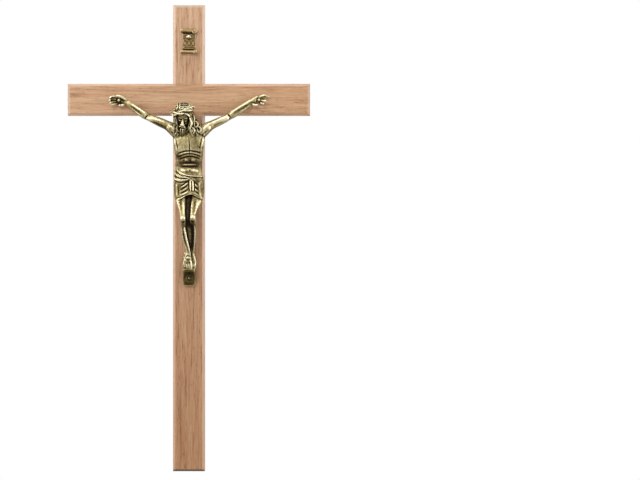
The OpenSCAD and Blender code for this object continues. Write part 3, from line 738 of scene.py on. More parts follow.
# Figure. A limb's rows are [x, z, out, half width, depth in front, depth behind].
body = {
    "voxel": 0.24 * mm,
    "smooth": (2, 14),          # rounds of smoothing, for all of it and then for all but hands and feet
    "trunkPower": 2.5,          # how square a section is
    "legPower": 2.6,
    "torso": [
        [-0.5, -13.6, 6.2, 3.6, 2.4, 2.6], [-0.2, -15.2, 5.6, 6.6, 3.2, 3.2],
        [0, -17, 5.4, 8.3, 3.8, 3.8], [0.25, -19.4, 5.4, 8.4, 4.3, 4.1],
        [0.25, -22, 5.4, 8.3, 4.7, 4.2], [0.2, -25, 5.3, 8, 4.8, 4.2],
        [0.28, -27.4, 5.2, 7.75, 4.5, 4.1], [0.35, -30.2, 5.1, 7.4, 3.7, 3.9],
        [0.1, -32.8, 5, 6.95, 3.3, 3.7], [0, -35.2, 4.9, 6.75, 3.3, 3.6], [0, -37.6, 5, 6.95, 3.8, 3.6],
        [0.15, -40.6, 5.1, 7.3, 4.3, 3.7], [0.3, -45, 5.4, 7.3, 4.2, 3.9], [0.3, -48, 5.7, 6.6, 4, 4],
        [0.4, -49.8, 6, 5, 3, 3.8],
    ],
    "neck": [
        [-0.2, -17.4, 6.2, 3.6, 2.6, 2.6], [-0.8, -15, 7.6, 2.7, 2.4, 2.4],
        [-1.6, -12.4, 9.4, 2.6, 2.4, 2.6], [-2.1, -10, 10.6, 2.8, 2.4, 2.8],
    ],
    "leftArm": [
        [-4.6, -19.6, 5.6, 3, 3, 3.2], [-7, -17.2, 5.8, 3.2, 3.2, 3.1], [-9.2, -15.3, 5.7, 3, 3.1, 2.9],
        [-11.6, -13.9, 5.3, 2.5, 2.7, 2.5], [-14.2, -12.7, 4.9, 2.45, 2.7, 2.3],
        [-17.2, -11.4, 4.5, 2.25, 2.4, 2.1], [-19.8, -10.3, 4.1, 1.95, 2, 1.8],
        [-21.6, -9.5, 3.8, 1.85, 1.8, 1.7], [-23.6, -8.3, 3.7, 2.1, 2, 1.8],
        [-26.2, -6.5, 3.3, 2, 1.8, 1.7], [-29.2, -4.4, 2.6, 1.65, 1.4, 1.4],
        [-31.6, -2.8, 2.1, 1.4, 1.1, 1.2], [-33, -2, 1.8, 1.5, 1, 1.2],
    ],
    "rightArm": [
        [4.9, -19.8, 5.6, 3, 3, 3.2], [7.4, -17.4, 5.8, 3.2, 3.2, 3.1], [9.7, -15.4, 5.7, 3, 3.1, 2.9],
        [12.2, -13.9, 5.3, 2.4, 2.7, 2.5], [15.1, -12.5, 4.9, 2.25, 2.6, 2.3],
        [17.9, -11.2, 4.5, 2.15, 2.4, 2.1], [20.1, -10.1, 4.1, 1.95, 2, 1.8],
        [21.8, -9.1, 3.8, 1.9, 1.8, 1.7], [24, -7.6, 3.7, 2.25, 2, 1.8],
        [27.2, -5.5, 3.2, 2.15, 1.8, 1.7], [30.4, -3.3, 2.5, 1.85, 1.4, 1.4],
        [32.6, -1.9, 2, 1.6, 1.1, 1.2], [34.2, -1.2, 1.7, 1.6, 1, 1.2],
    ],
    "leftLeg": [
        [-3.2, -44, 5.6, 3.8, 3.6, 3.6], [-4, -49, 6.2, 3.6, 3.6, 3.6],
        [-4, -53.4, 7.6, 2.95, 3.2, 3.2], [-3.35, -57.8, 9.6, 2.05, 2.6, 2.8],
        [-2.9, -61.4, 11.3, 1.5, 2.1, 2.4], [-2.7, -63.8, 12.4, 1.4, 2, 2.2],
        [-2.6, -66, 11.6, 1.35, 1.3, 2.2], [-2.5, -68.6, 10.2, 1.3, 1.2, 2.4],
        [-2.2, -72, 9.4, 1.35, 1.3, 2.4], [-1.6, -75.6, 8.7, 1.2, 1.3, 2],
        [-0.8, -78.8, 8, 0.95, 1.1, 1.4], [-0.2, -81.2, 7.4, 0.95, 1.1, 1.3],
        [-0.1, -83, 6.8, 1.3, 1.3, 1.4], [-0.3, -84.8, 6.2, 1.8, 1.25, 1.6],
        [-0.5, -86.8, 5.6, 2, 1.05, 1.3], [-0.6, -88, 5.2, 1.8, 0.8, 1],
    ],
    "rightLeg": [
        [3.8, -44, 5.6, 3.8, 3.6, 3.6], [4.4, -49, 6.2, 3.7, 3.6, 3.6],
        [4.45, -53.4, 7.4, 3.2, 3.2, 3.2], [3.25, -58, 9.3, 2.15, 2.6, 2.8],
        [2.55, -61.4, 10.9, 1.5, 2.1, 2.4], [2.45, -63.4, 11.9, 1.55, 2, 2.2],
        [2.5, -65.8, 11, 1.65, 1.2, 2.2], [2.5, -68.6, 9.2, 1.7, 1.1, 2.4],
        [2.4, -72.4, 7.6, 1.75, 1.2, 2.4], [2.1, -76, 6.4, 1.55, 1.2, 2.1],
        [1.7, -79.4, 5.4, 1.2, 1.1, 1.5], [1.7, -82.2, 4.6, 1.2, 1.1, 1.3],
        [2.1, -84.8, 3.9, 1.5, 1.1, 1.4], [2.5, -87.2, 3.3, 1.6, 0.9, 1.2],
        [2.7, -88.6, 3, 1.4, 0.8, 1],
    ],
    "web": [
        [0.3, -49, 5.8, 4, 2.4, 3], [0.2, -56, 7.8, 3.4, 2.2, 3], [0.1, -63, 9.8, 2.4, 2, 3],
        [0.2, -69, 8.9, 2.2, 1.6, 2.6], [0.6, -76, 6.9, 1.6, 1.2, 2], [0.9, -82, 4.2, 1.2, 1, 1.6],
    ],
    "palms": [
        [[-32.6, -2.3, 1.9, 1.35, 0.95, 1.1], [-34.2, -1.6, 1.6, 1.7, 1, 1.1],
         [-36, -1, 1.3, 2.1, 0.9, 1.1], [-37.8, -0.8, 1.2, 2.3, 0.7, 1.1],
         [-39.2, -0.7, 1.3, 2.1, 0.7, 1.1], [-39.9, -0.7, 1.4, 1.6, 0.5, 0.9]],
        [[33.4, -1.5, 1.9, 1.5, 0.95, 1.1], [35, -0.8, 1.6, 1.75, 1, 1.1],
         [36.6, -0.4, 1.3, 2.1, 0.9, 1.1], [38.2, -0.1, 1.2, 2.2, 0.7, 1.1],
         [39.3, 0, 1.3, 1.9, 0.7, 1.1], [40, 0.1, 1.4, 1.4, 0.5, 0.9]],
    ],
    # swellings: place, half sizes across, up and out, turn in degrees
    "muscles": [
        ([-3.2, -22.4, 7.3], [4.6, 5.6, 2.5], 4), ([4.2, -22.4, 7.3], [4.5, 5.6, 2.5], -4),
        ([-9.6, -15.3, 6.4], [2.9, 2.3, 2.4], -34), ([10.1, -15.5, 6.4], [2.8, 2.2, 2.4], 34),
        ([0.75, -38.4, 6.7], [5.6, 2.5, 2.5], 0), ([-4.2, -38.8, 5.8], [2.3, 2.8, 2.3], -20),
        ([4.8, -38.8, 5.2], [2.2, 2.8, 2.3], 20), ([-2.8, -63.6, 13.2], [1.25, 1.3, 1.2], 0),
        ([2.5, -63.2, 12.7], [1.4, 1.3, 1.2], 0), ([-1.3, -82.6, 6.2], [0.8, 1.3, 0.8], 0),
        ([2.7, -82.8, 4], [0.7, 1.3, 0.8], 0),
    ],
    # shin edges, fingers and toes: rows of [x, z, out, radius]
    "cords": [
        [[-2.1, -68, 11.2, 0.45], [-1.7, -71, 10.9, 0.5], [-0.8, -75.6, 10, 0.5],
         [0.2, -79.6, 8.9, 0.45], [0.9, -82.8, 7.6, 0.4]],
        [[3.3, -66.6, 11, 0.4], [3.5, -71.6, 9, 0.5], [3.2, -76.8, 7, 0.45], [2.6, -81.6, 5.4, 0.4]],
    ],
    "fingers": [
        [[-38.6, 1.2, 1.5, 0.64], [-40.2, 1.5, 2, 0.62], [-41.6, 1.3, 2.7, 0.58],
         [-42.1, 0.8, 3.4, 0.5]],
        [[-38.9, 0.1, 1.5, 0.64], [-40.6, 0.15, 2.1, 0.62], [-42, -0.1, 2.8, 0.58],
         [-42.2, -0.5, 3.5, 0.5]],
        [[-38.9, -1.1, 1.5, 0.62], [-40.5, -1.2, 2.1, 0.6], [-41.7, -1.5, 2.8, 0.56],
         [-41.8, -1.9, 3.4, 0.48]],
        [[-38.4, -2.1, 1.4, 0.58], [-39.8, -2.5, 1.9, 0.56], [-40.8, -2.8, 2.5, 0.5],
         [-40.9, -3, 3, 0.42]],
        [[-33.8, -0.5, 1.7, 0.8], [-35, 0.7, 2.2, 0.78], [-36.6, 1.6, 2.7, 0.64],
         [-38.4, 1.9, 2.9, 0.52]],
        [[-34, -2.6, 1.8, 0.7], [-35.4, -3, 1.9, 0.8], [-37, -3.1, 1.8, 0.7]],
        [[37.8, 1.1, 1.5, 0.6], [39, 1.75, 2, 0.58], [40.6, 2.1, 2.3, 0.54], [41.5, 2, 2.1, 0.48]],
        [[38.6, 0.6, 1.6, 0.6], [40.4, 1.2, 1.9, 0.56], [42.2, 1.6, 1.9, 0.5], [43.1, 1.7, 1.7, 0.42]],
        [[38.9, -0.5, 1.6, 0.6], [40.2, -0.7, 2.3, 0.6], [41.2, -0.7, 3, 0.56], [41.3, -0.7, 3.4, 0.5]],
        [[38.4, -1.6, 1.5, 0.56], [39.4, -2.1, 2.2, 0.54], [40, -2.3, 2.8, 0.5],
         [40.1, -2.3, 3.2, 0.46]],
        [[33.6, -2, 1.7, 0.8], [34.6, -2.7, 2.1, 0.8], [35.8, -3, 2.4, 0.66], [36.8, -2.9, 2.5, 0.52]],
    ],
    "toes": [
        [[0.9, -86.6, 5.9, 0.75], [1.3, -88.2, 5.8, 0.62], [1.5, -89.9, 5.5, 0.56],
         [1.5, -91, 5.1, 0.5]],
        [[0.1, -87.2, 5.9, 0.5], [0.35, -89.2, 5.8, 0.42], [0.4, -90.3, 5.3, 0.4]],
        [[-0.7, -87.2, 5.8, 0.5], [-0.75, -89.1, 5.7, 0.42], [-0.75, -90.2, 5.2, 0.4]],
        [[-1.5, -86.9, 5.6, 0.48], [-1.7, -88.7, 5.5, 0.42], [-1.8, -89.8, 5, 0.38]],
        [[-2.1, -86.2, 5.4, 0.45], [-2.5, -88, 5.2, 0.42], [-2.6, -89.2, 4.7, 0.38]],
        [[3.2, -87.4, 3.6, 0.6], [3.3, -89, 3.6, 0.55], [3.2, -90.4, 3.2, 0.48]],
        [[2.3, -87.7, 3.7, 0.5], [2.4, -89.2, 3.7, 0.45], [2.4, -90.3, 3.3, 0.4]],
    ],
    # the hands and the feet lie past these places
    "handsFrom": 31,
    "feetFrom": -79,
    "fineFade": 3,
    # how far the polish went, by height: less on the shins, painted shade where they face down,
    # and in the hollow of the belly, patina with painted shade under the ribs
    "patinaAndShade": ([-84.6, -82.6, -70.5, -63.6, -39, -36, -32, -28.6, -27.4, -20, -14],
               [0.51, 0.40, 0.39, 0.45, 0.52, 0.42, 0.42, 0.46, 0.53, 0.53, 0.47]),
    # where it went less or more far, with painted light: line, width, amount
    "paintedLightAndPatina": [
        # between the thighs and down the left thigh: painted shade
        ([(0.1, -52.8), (0.1, -61.5)], 1.5, -0.12), ([(-3.6, -52.8), (-3.1, -62)], 0.9, -0.17),
        # darker on the knees, then painted shade down the right thigh and under the knees
        ([(-2.7, -63.5), (-2.6, -63.9)], 1.3, -0.12), ([(2.4, -63.1), (2.4, -63.5)], 1.3, -0.12),
        ([(3.2, -52.8), (2.6, -61)], 0.8, -0.09), ([(-3, -66.5), (3.4, -66.5)], 2.1, -0.3),
        # painted shade down the right shin, and darker between the toes
        ([(2.1, -70), (1.7, -81)], 1.3, -0.12), ([(-0.4, -86.9), (0.2, -86.9)], 0.6, -0.2),
        # painted shade under the hem of the cloth
        ([(-7.4, -54), (-3.6, -52.8), (-0.4, -51.6)], 0.55, -0.35),
        ([(2.4, -51.4), (4.6, -52.4), (7.8, -54.3)], 0.55, -0.35),
        # painted highlights on the belly's bumps, painted shade under the belly and the ribs
        ([(-3.6, -38.2), (-2.2, -38.2)], 0.9, 0.14), ([(3, -38.4), (4.4, -38.4)], 0.9, 0.14),
        ([(-3, -39.2), (5, -39.2)], 2, -0.06),
        ([(-5.6, -30.6), (0.6, -29.4), (6.4, -30.5)], 1.3, -0.16),
        # darker in the hollow of the belly, patina with painted shade; painted shade on the right of
        # the chest
        ([(-3.2, -34), (4.4, -34)], 2, -0.08), ([(4.2, -21), (4.2, -26)], 2.6, -0.05),
        # a painted highlight on the left of the chest; darker hands and fingers
        ([(-4, -22), (-4, -26.4)], 2.2, 0.06), ([(-36.6, -0.8), (-41.6, -0.8)], 2.6, -0.17),
        ([(37.4, -0.2), (42.6, 0.4)], 2.4, -0.15), ([(40.8, 1.6), (43.4, 1.6)], 0.9, -0.12),
        # along the arms: painted shade on their undersides and down the middle of the forearms, painted
        # highlights on the elbows and the right upper arm
        ([(-31, -3.6), (-12, -13.6)], 2.8, -0.05), ([(-33.4, -1.8), (-23.4, -9.3)], 1, -0.1),
        ([(-20, -12.1), (-12, -15.8)], 1.1, -0.12), ([(-18.6, -11.4), (-9.6, -15.2)], 1.8, -0.07),
        ([(-21.6, -10.8), (-19.2, -11.2)], 1.2, 0.24), ([(35.2, -0.6), (22.4, -9)], 0.9, -0.1),
        ([(33, -3.4), (23, -10.2)], 0.7, -0.05), ([(18.2, -10.7), (21, -10.1)], 1.2, 0.22),
        ([(17.5, -11.8), (10.5, -15)], 1.8, 0.06),
    ],
    # what stands proud was polished: reach in mm and weight, then reach in figure units
    "proud": [(0.5, 1.6), (1.5, 1.5)],
    "relief": [(2.5, 0.2)],
    # relief drawn on the front: line, width, height, fade at the ends
    "strokes": [
        # breastbone, then the ribs' arch under the chest
        ([(0.3, -19.4), (0.6, -24), (0.8, -29), (0.8, -32)], 0.3, -0.28),
        ([(-6.6, -29.6), (-3, -28.2), (0.5, -27.7), (4.2, -28.1), (7.4, -29.2)], 0.42, -0.44, 0.2),
        ([(-6, -30.2), (-2.6, -29.1), (0.6, -28.6), (4, -29), (6.9, -30)], 0.3, 0.12, 0.2),
        ([(-5.4, -31), (-2.4, -29.8), (1, -29.3), (4, -29.8), (6.7, -31)], 0.3, -0.3, 0.2),
        ([(-3.4, -30.6), (1, -29.9), (5, -30.5)], 0.3, 0.12, 0.25),
        ([(-5.4, -32.6), (-2.2, -31.2), (1, -30.7), (3.8, -31.1), (6.6, -32.4)], 0.4, -0.34, 0.2),
        # hollow of the belly, its bumps and bands
        ([(-1.3, -32.6), (-0.5, -32.6)], 0.7, 0.3, 0), ([(2.2, -32.6), (3, -32.6)], 0.7, 0.3, 0),
        ([(-4.2, -34.1), (0.65, -33.9), (5.4, -34.1)], 0.3, -0.18),
        ([(-4.4, -35.1), (0.7, -35), (5.4, -35.1)], 0.3, 0.24),
        ([(-5, -36.2), (0.7, -36.1), (6, -36.2)], 0.42, -0.28),
        ([(0.85, -38), (0.85, -38.4)], 0.34, -0.2, 0), ([(-3.4, -38.1), (-2.4, -38.1)], 0.9, 0.28, 0),
        ([(3.2, -38.3), (4.2, -38.3)], 0.9, 0.28, 0),
        # side edges of the chest
        ([(-7.9, -19.8), (-7.4, -22.6), (-6.7, -25.6), (-6.1, -28.6)], 0.5, 0.4, 0.2),
        ([(8.6, -17.5), (8.2, -21), (7.4, -24.8), (6.7, -28.4)], 0.5, 0.4, 0.2),
        ([(-6.6, -20.8), (-6, -24.2), (-5.3, -27.4)], 0.4, -0.2),
        ([(7.3, -19.8), (6.6, -23.4), (5.9, -27)], 0.4, -0.2),
        # shoulders
        ([(12.9, -12.2), (9.8, -14.4), (6.9, -17)], 0.7, 0.22),
        ([(10.6, -16.6), (8.6, -18.2), (7.2, -20.4)], 0.5, -0.3),
        ([(-12.4, -12.4), (-9.2, -14.6), (-6.4, -17.2)], 0.7, 0.22),
        ([(-10, -16.8), (-8.2, -18.4), (-6.8, -20.4)], 0.5, -0.3),
        # left arm
        ([(-33.2, -1.8), (-28.4, -5.4), (-22.6, -9.8)], 0.8, -0.3),
        ([(-31.6, -2), (-26.6, -5), (-20.8, -8.6)], 0.5, 0.2),
        ([(-31.6, -4.6), (-26.5, -8.1), (-23.4, -10.4)], 0.4, 0.2),
        ([(-24, -10.8), (-22.8, -9.8), (-21.6, -8.2)], 0.4, -0.4),
        ([(-21.2, -10.8), (-20, -10.6)], 0.9, 0.32, 0),
        ([(-19.8, -11.6), (-15.6, -13.5), (-11.6, -15.2)], 0.6, -0.3),
        ([(-20, -9.8), (-15.4, -11.3), (-10.6, -12.9)], 0.6, 0.24),
        # right arm
        ([(35.4, -0.6), (29, -4.6), (22.2, -9)], 0.75, -0.28),
        ([(35.6, 0.4), (29, -3.2), (20.8, -8)], 0.5, 0.2),
        ([(34, -3), (28.4, -6.9), (22.6, -10.2)], 0.45, 0.16),
        ([(20.6, -7.8), (22.1, -9.3), (21.7, -11.6)], 0.4, -0.4),
        ([(19, -10.2), (20.4, -9.9)], 0.9, 0.32, 0),
        ([(12.4, -14.8), (16, -13.1), (19.8, -11.6)], 0.6, -0.28),
        ([(11.6, -12.8), (16, -11.1), (20, -9.4)], 0.6, 0.24),
        # thighs
        ([(-4.4, -52.4), (-4.1, -57.6), (-3.6, -62.6)], 0.8, -0.18),
        ([(-2.7, -52.6), (-2.4, -58), (-2.2, -63.2)], 0.5, 0.22),
        ([(-6, -52.8), (-5.7, -56.4)], 0.4, 0.16),
        ([(4, -52.4), (3.5, -57.6), (2.8, -62.4)], 0.8, -0.16),
        ([(2.4, -52.4), (1.6, -58), (1.2, -63.2)], 0.5, 0.22),
        ([(5.3, -52.8), (4.9, -56.6), (4.2, -60.4)], 0.4, 0.16),
        # knees and shins
        ([(-3.8, -65.1), (-2.6, -65.7), (-1.4, -65.1)], 0.45, -0.3),
        ([(1.1, -64.8), (2.5, -65.4), (3.9, -64.8)], 0.45, -0.3),
        ([(-3.1, -68.6), (-2.3, -74), (-1.1, -80.2)], 0.45, -0.22),
        # palms and feet
        ([(-36.6, 0.2), (-36.2, -2.4)], 0.3, -0.4), ([(-38.4, 0.9), (-38.9, -2.4)], 0.3, -0.35),
        ([(36.8, 1.2), (36.2, -1.8)], 0.3, -0.4), ([(0.55, -86.8), (0.85, -88.6)], 0.24, -0.5),
        ([(-0.3, -87.2), (-0.2, -88.9)], 0.22, -0.45), ([(-1.1, -87), (-1.15, -88.6)], 0.22, -0.45),
        ([(-1.8, -86.4), (-2.05, -87.8)], 0.22, -0.4), ([(2.8, -87.2), (2.95, -88.8)], 0.24, -0.45),
        ([(-1.2, -85.6), (-0.3, -86.2), (0.6, -85.9)], 0.3, -0.2),
    ],
}


def makeBody(spec):
    parts = [limb(spec["torso"], power=spec["trunkPower"])]
    parts += [limb(spec[key], power=spec["legPower"]) for key in ("leftLeg", "rightLeg")]
    parts += [limb(spec[key]) for key in ("neck", "leftArm", "rightArm", "web")]
    parts += [limb(palm) for palm in spec["palms"]]
    parts += [blob(*swelling) for swelling in spec["muscles"]]
    parts += [tube(rows) for rows in spec["cords"] + spec["fingers"] + spec["toes"]]
    mesh = castAsOne("corpusBody", parts, spec["voxel"])
    x, z, _ = toFigure(readMesh(mesh)[0]).T
    past = np.maximum(np.abs(x) - spec["handsFrom"], spec["feetFrom"] - z)
    fine = np.clip(past / spec["fineFade"], 0, 1)[:, None]
    smoothSkin(mesh, spec["smooth"][0])
    smoothSkin(mesh, spec["smooth"][1], 1 - fine)
    carve(mesh, spec["strokes"])
    return dressSkin(mesh, spec)


finishPiece("corpusBody", makeBody(body), antiqueBrass, "corpus")


# Loincloth of the same casting
cloth = {
    "voxel": 0.18 * mm,
    "smooth": 6,
    "wrapSection": {"steps": 10, "sides": 64, "power": 2.8},
    "tailSection": {"sides": 20, "power": 3.0},
    "twist": {"sides": 20, "flute": 0.14, "flutes": 4, "turns": 1.2},
    "wrap": [
        [0.5, -40.2, 5.3, 6.9, 4.8, 3.6], [0.45, -41.8, 5.6, 7.55, 5.1, 3.8],
        [0.4, -45, 5.9, 8, 5.1, 4], [0.35, -48.5, 6.3, 8.05, 5, 4.2], [0.4, -51.8, 7, 7.8, 5, 4.4],
        [0.5, -54.4, 7.6, 7.5, 4.7, 4.4],
    ],
    "bands": [
        [[-6.1, -35.8, 4.6, 0.6], [-5.6, -37.4, 7.2, 0.75], [-4.6, -39.3, 9.2, 0.85],
         [-2.2, -40.7, 10.2, 0.85], [1.4, -41.4, 10.3, 0.8], [4.4, -41.4, 9.7, 0.85],
         [6.8, -41.3, 7.9, 0.85], [7.5, -41.2, 5, 0.7]],
        [[-6.6, -38.2, 5, 0.8], [-6.3, -39.9, 8.1, 0.85], [-4.3, -41.4, 9.9, 0.9],
         [-1.2, -42, 10.6, 0.85], [1, -42.3, 10.7, 0.75]],
        [[-7.1, -40.8, 5.4, 0.8], [-6.5, -42.5, 8.5, 0.85], [-4.2, -43.5, 10.2, 0.85],
         [-1.2, -43.3, 10.8, 0.75], [0.9, -42.7, 10.7, 0.55]],
        [[2, -42.6, 10.7, 0.7], [4.4, -43.4, 9.9, 0.7], [6.7, -44, 8.2, 0.7], [7.5, -44.4, 6, 0.6]],
    ],
    "tail": [
        [1.6, -42.6, 10.4, 1, 0.9, 1.4], [1.8, -44.6, 11, 1.15, 0.7, 1.4],
        [1.95, -47.2, 11.3, 1.2, 0.6, 1.4], [2, -49.4, 11.4, 1.1, 0.5, 1.4],
    ],
    "knot": ([1.1, -42.5, 10.6], [1.3, 0.9, 0.8]),
    "hemLift": (3.5, 1.2, 4.9),     # how far the hem rises in front, where, and how wide
    "hemFrom": -44,
    "hemPower": 1.5,                # how suddenly it begins to rise
    "patinaAndShade": ([0], [0.42]),
    "proud": [(0.45, 1.7), (1.3, 1.15)],
    "relief": [(2.2, 0.18)],
    "strokes": [
        # creases under the three bands over the left hip
        ([(-6, -37.6), (-4.9, -39.9), (-3, -41.2), (-0.6, -41.4), (1.2, -41.9)], 0.3, -0.36, 0.2),
        ([(-7, -40), (-5.8, -41.7), (-3.6, -42.6), (-0.4, -42.7)], 0.3, -0.36, 0.2),
        ([(-7.2, -43.1), (-5.5, -44.2), (-2.6, -44.4), (-0.2, -43.7)], 0.32, -0.36, 0.2),
        # folds that fall from the left hip and rise to the knot
        ([(-4.9, -46.9), (-3.8, -46.4), (-2, -45.3), (0.3, -43.4)], 0.34, -0.34, 0.5),
        ([(-4.8, -47.9), (-3.6, -47.2), (-1.6, -45.9), (0.3, -44.5)], 0.42, 0.22, 0.4),
        ([(-4.8, -48.9), (-3.4, -48.1), (-1.2, -46.7), (0.5, -45.5)], 0.34, -0.34, 0.5),
        ([(-4.8, -49.9), (-3.2, -49.1), (-1, -47.8), (0.6, -46.7)], 0.42, 0.22, 0.4),
        ([(-4.8, -50.8), (-3, -50), (-0.8, -48.8), (0.6, -47.8)], 0.34, -0.34, 0.5),
        ([(-4.8, -51.7), (-2.8, -50.9), (-0.6, -49.8), (0.7, -48.9)], 0.42, 0.22, 0.4),
        ([(-6.6, -53.2), (-3.4, -52.1), (-0.8, -51.1), (0.9, -50.6)], 0.26, -0.22, 0.1),
        # the strip over the left hip
        ([(-6.3, -44.6), (-6.3, -48.6), (-6.3, -52.6)], 0.8, 0.34, 0.2),
        ([(-5, -46), (-5, -49), (-5.2, -52.4)], 0.3, -0.2, 0.5),
        # folds from the right hip
        ([(2.9, -44.2), (4.2, -45), (5.4, -46.2)], 0.34, -0.34, 0.5),
        ([(3.1, -45.4), (4.4, -46.3), (5.6, -47.4)], 0.42, 0.22, 0.4),
        ([(3.1, -46.6), (4.5, -47.6), (5.8, -48.8)], 0.34, -0.34, 0.5),
        ([(3.1, -47.8), (4.6, -48.8), (6, -50)], 0.42, 0.22, 0.4),
        ([(3, -48.9), (4.7, -50), (6.2, -51.3)], 0.34, -0.34, 0.5),
        ([(1.8, -50.6), (4.4, -51.5), (7.3, -53.5)], 0.26, -0.22, 0.1),
        ([(6, -43.4), (6.1, -48), (6.6, -52.6)], 0.6, 0.3, 0.2),
        # the hanging end
        ([(1.75, -43.6), (1.9, -46.6), (1.95, -49.6)], 0.24, -0.36, 0.1),
        ([(1.1, -43.8), (1.25, -46.6), (1.35, -49.4)], 0.26, 0.14, 0.1),
        ([(2.5, -43.8), (2.65, -46.6), (2.65, -49.4)], 0.26, 0.14, 0.1),
        ([(0.4, -44), (0.5, -47), (0.6, -49.6)], 0.28, -0.36, 0.15),
        ([(3.3, -44.2), (3.4, -47), (3.4, -49.6)], 0.28, -0.36, 0.15),
        # the sash crosses itself at the knot
        ([(-0.8, -41.4), (0.6, -42.1), (2.4, -43)], 0.26, -0.26, 0.2),
        ([(-0.4, -42.2), (1, -42.9), (2.2, -43.8)], 0.26, 0.16, 0.2),
    ],
}


def makeCloth(spec):
    wrap = limb(spec["wrap"], **spec["wrapSection"])
    lift, centre, wide = spec["hemLift"]
    p = wrap[0]
    down = (spec["hemFrom"] - p[:, 1]) / (spec["hemFrom"] - spec["wrap"][-1][1])
    down = np.clip(down, 0, 1) ** spec["hemPower"]
    p[:, 1] += lift * down * np.exp(-((p[:, 0] - centre) / wide) ** 2)
    parts = [wrap, limb(spec["tail"], **spec["tailSection"])]
    parts += [tube(rows, **spec["twist"]) for rows in spec["bands"]]
    parts.append(blob(*spec["knot"]))
    mesh = castAsOne("corpusCloth", parts, spec["voxel"])
    smoothSkin(mesh, spec["smooth"])
    carve(mesh, spec["strokes"])
    return dressSkin(mesh, spec)


finishPiece("corpusCloth", makeCloth(cloth), antiqueBrass, "corpus")


# Head. Its own frame is [right, up, forwards] in figure units; it bows forwards and leans.
def bothSides(lines):
    # each line, then its mirror image across the middle of the face, with what follows it
    pairs = []
    for line, *rest in lines:
        pairs += [(line, *rest), ([(-p[0], *p[1:]) for p in line], *rest)]
    return pairs


